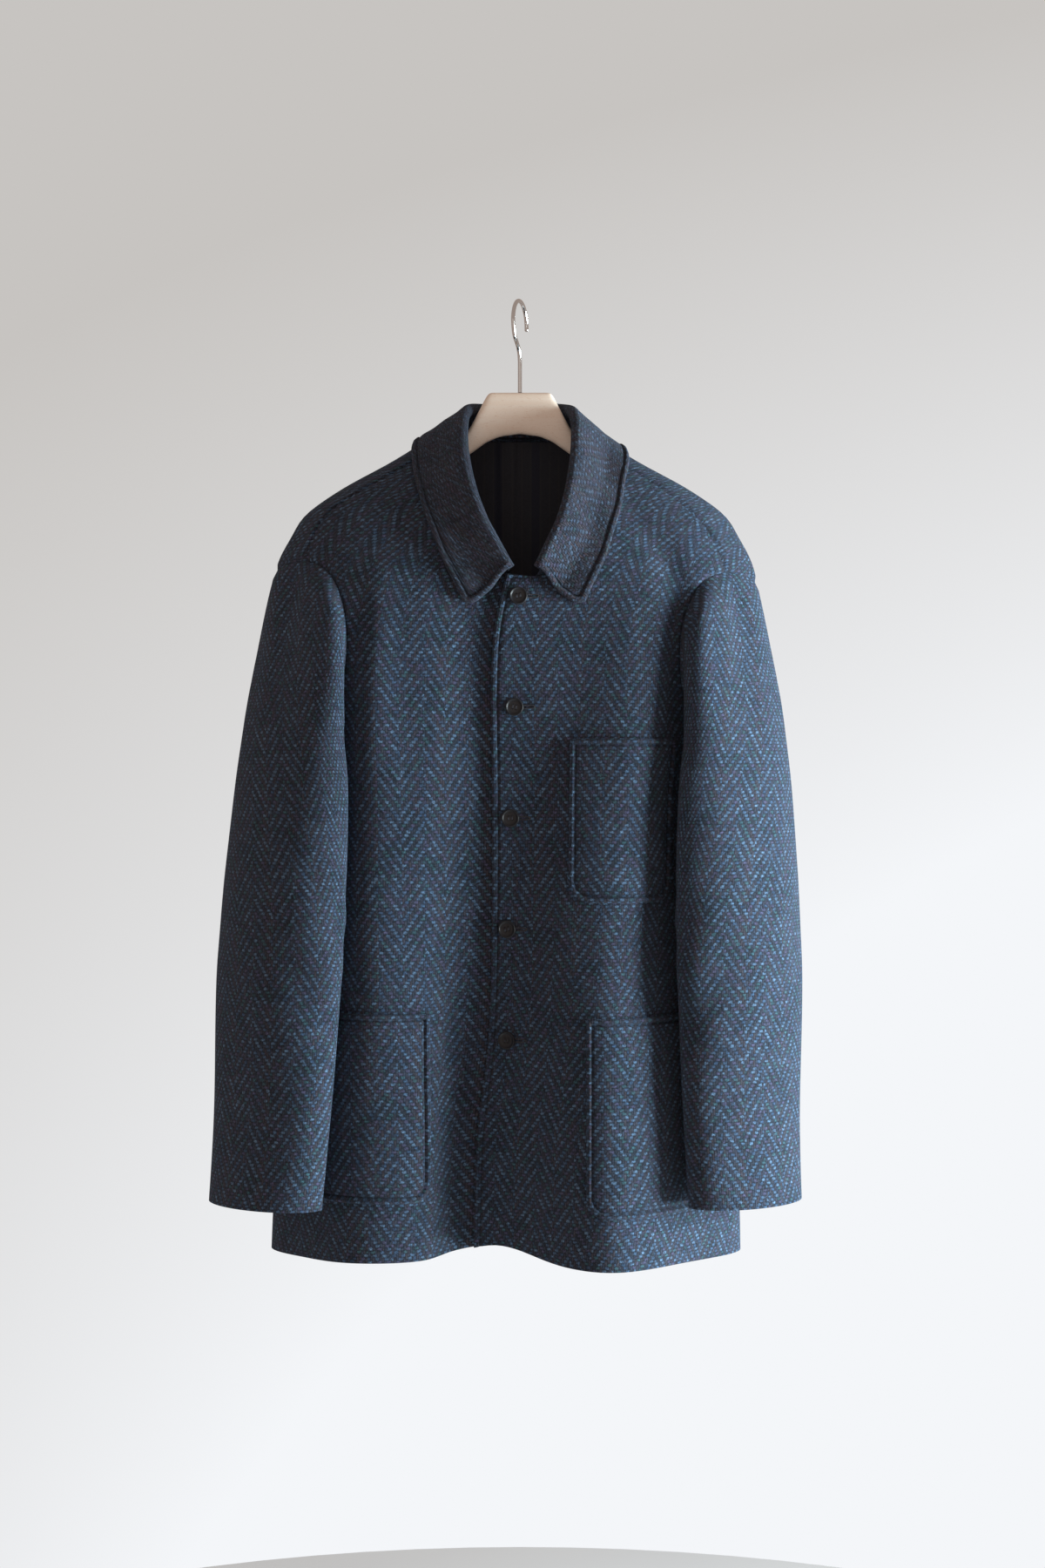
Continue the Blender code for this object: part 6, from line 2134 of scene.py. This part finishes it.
def wood(cover):
    """The hanger's wood, in sections across its length. cover is a tree of the faces over it."""
    rows = np.array([(-x, *row) for x, *row in WOOD[:0:-1]] + list(WOOD))
    stations = np.linspace(rows[0, 0], rows[-1, 0], WOOD_STATIONS)
    sizes = np.stack([np.interp(stations, rows[:, 0], rows[:, k]) for k in (1, 2, 3)], axis=1)
    for _ in range(WOOD_SMOOTHINGS):
        sizes[1:-1] = 0.25 * sizes[:-2] + 0.5 * sizes[1:-1] + 0.25 * sizes[2:]
    sections = [wood_section(x, *row) for x, row in zip(stations, sizes)]
    rises = []
    for x, section in zip(stations, sections):
        rise = 0.0 if abs(x) < CLEAR_FROM else room_over(section, cover)
        rises.append(rise if abs(x) > SEAT_FROM else min(rise, 0.0))
    window = 2 * WOOD_REACH + 1
    lowest = [min(rises[max(0, k - WOOD_REACH) : k + WOOD_REACH + 1]) for k in range(len(rises))]
    padded = np.pad(lowest, WOOD_REACH, mode="edge")
    rises = np.convolve(padded, np.ones(window) / window, mode="valid")
    sections = [section + (0, 0, rise) for section, rise in zip(sections, rises)]
    return np.concatenate(sections), tube_faces(WOOD_STATIONS, WOOD_SIDES)


cover = tree_of(*(walls[name] for name in ("back", "front_left", "front_right", "collar")))
bar_of_wood = add_piece("hanger_beech", *wood(cover), beech, "hanger_wood", rounding=0)
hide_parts("hanger_wood")


# %% [markdown]
# The hook is a wire of chromed steel, bent to a round crook and straightened down into the wood. Its
# free end is ground a little thinner. A curve with a bevel would do, but the tube above is at hand.


# %% The wire hook
HOOK_END_TURN = 188  # degrees round the crook, from the front over the top to the free end
# From the crook down to the wood, as (forward, z) in the plane of the crook
HOOK_FOOT = ((0.0176, -0.0358), (0.0097, -0.0418), (0.0020, -0.0505), (0.0, -0.0600))
HOOK_STEPS = 90
FOOT_STEPS = 40
WIRE_SIDES = 24
FREE_END = 0.72  # how wide the wire's free end still is


def hook():
    """The wire from its free end over the crook and down into the wood."""
    crook_z = -CROOK_RADIUS + WIRE_WIDTH / 2
    turns = np.radians(np.linspace(HOOK_END_TURN, 0, HOOK_STEPS))
    crook = CROOK_RADIUS * np.array([np.cos(turns), np.sin(turns)]).T + (0.0, crook_z)
    flat = [tuple(place) for place in crook]
    foot = along([flat[-1], *HOOK_FOOT], FOOT_STEPS)[1:]
    flat = [*flat, *foot, (0.0, WOOD_TOP_Z + SEAM_GAP)]
    forward = np.array([-math.sin(CROOK_TURN), -math.cos(CROOK_TURN)])
    path = np.array([(*(forward * f), z) for f, z in flat])
    side = np.array([forward[1], -forward[0], 0.0])
    ahead = np.cross(unit(np.gradient(path, axis=0)), side)
    radius = np.full(len(path), WIRE_WIDTH / 2)
    radius[0] *= FREE_END
    return tube(path, np.broadcast_to(side, path.shape), ahead, radius, WIRE_SIDES)


wire = add_piece("hanger_wire", *hook(), chrome, "hook_chrome", rounding=0)
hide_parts("hanger_hook")


# %% [markdown]
# ## Stage, light and camera
# Soft light comes from the right, as from a large window, and all behind the jacket is pale. One big
# area light stands for the window, and a weak one opens the shadows. The world has two colours: a pale
# one that only the camera sees, with painted light that brightens it towards the bottom and the right,
# and a warmer, darker one that lights the cloth from all sides.


# %% The stage and the world
FLOOR_Z = -1.72
ALL_ROUND = (0.39, 0.315, 0.28, 1.0)  # the light from all sides, warmer than the window's
BEHIND_DARK, BEHIND_LIGHT = colour(199, 196, 193), colour(244, 246, 249)

bpy.ops.mesh.primitive_circle_add(
    vertices=96, radius=1.3, fill_type="NGON", location=(0, 0.2, FLOOR_Z)
)
floor = bpy.context.object
floor.name = "floor"
floor.data.materials.append(drifting(
    "pale floor", 3.0, 3.0, colour(226, 228, 230), colour(234, 236, 237),
    roughness=0.85, Specular_IOR_Level=0.2,
))

world = bpy.context.scene.world or bpy.data.worlds.new("world")
bpy.context.scene.world = world
world.use_nodes = True
air = world.node_tree
background = air.nodes["Background"]
start = Shade(air, None)
direction = start.node("ShaderNodeTexCoord", out=0)
height, aside = axis_of(direction, 2), axis_of(direction, 0)
# painted light on the pale ground behind, which only the camera sees: brighter towards the bottom and the
# right
backdrop_painted_light = (height * -2.4 + aside * 1.6 - aside * height * 3.6 + 0.62).limited()
seen = start.node("ShaderNodeLightPath", out=0)
feed(background, "Color", seen.mix(ALL_ROUND, backdrop_painted_light.mix(BEHIND_DARK, BEHIND_LIGHT)))
background.inputs["Strength"].default_value = 1.0
print("floor at", FLOOR_Z)


# %% Light and camera
def area_light(name, place, towards, size, power, tint):
    light = bpy.data.lights.new(name, "AREA")
    light.shape = "RECTANGLE"
    light.size, light.size_y = size
    light.energy = power
    light.color = tint
    lamp = bpy.data.objects.new(name, light)
    lamp.location = place
    lamp.rotation_euler = (Vector(towards) - Vector(place)).to_track_quat("-Z", "Y").to_euler()
    bpy.context.collection.objects.link(lamp)


area_light("window", (2.2, -0.52, -0.80), (0, 0, -0.55), (1.2, 1.3), 170, (0.84, 1.0, 1.06))
area_light("front fill", (-0.3, -2.8, -0.2), (0, 0, -0.5), (1.6, 1.6), 3, (1.0, 0.97, 0.92))

camera_data = bpy.data.cameras.new("camera")
camera_data.sensor_fit = "VERTICAL"
camera_data.sensor_width = 24
camera_data.sensor_height = 36
camera_data.lens = 55
camera = bpy.data.objects.new("camera", camera_data)
camera.location = (0.0026, -2.3925, -0.4802)
camera.rotation_euler = (math.radians(90), 0, 0)
bpy.context.collection.objects.link(camera)
bpy.context.scene.camera = camera
bpy.context.scene.view_settings.view_transform = "Standard"
print("camera at", camera.location[:])
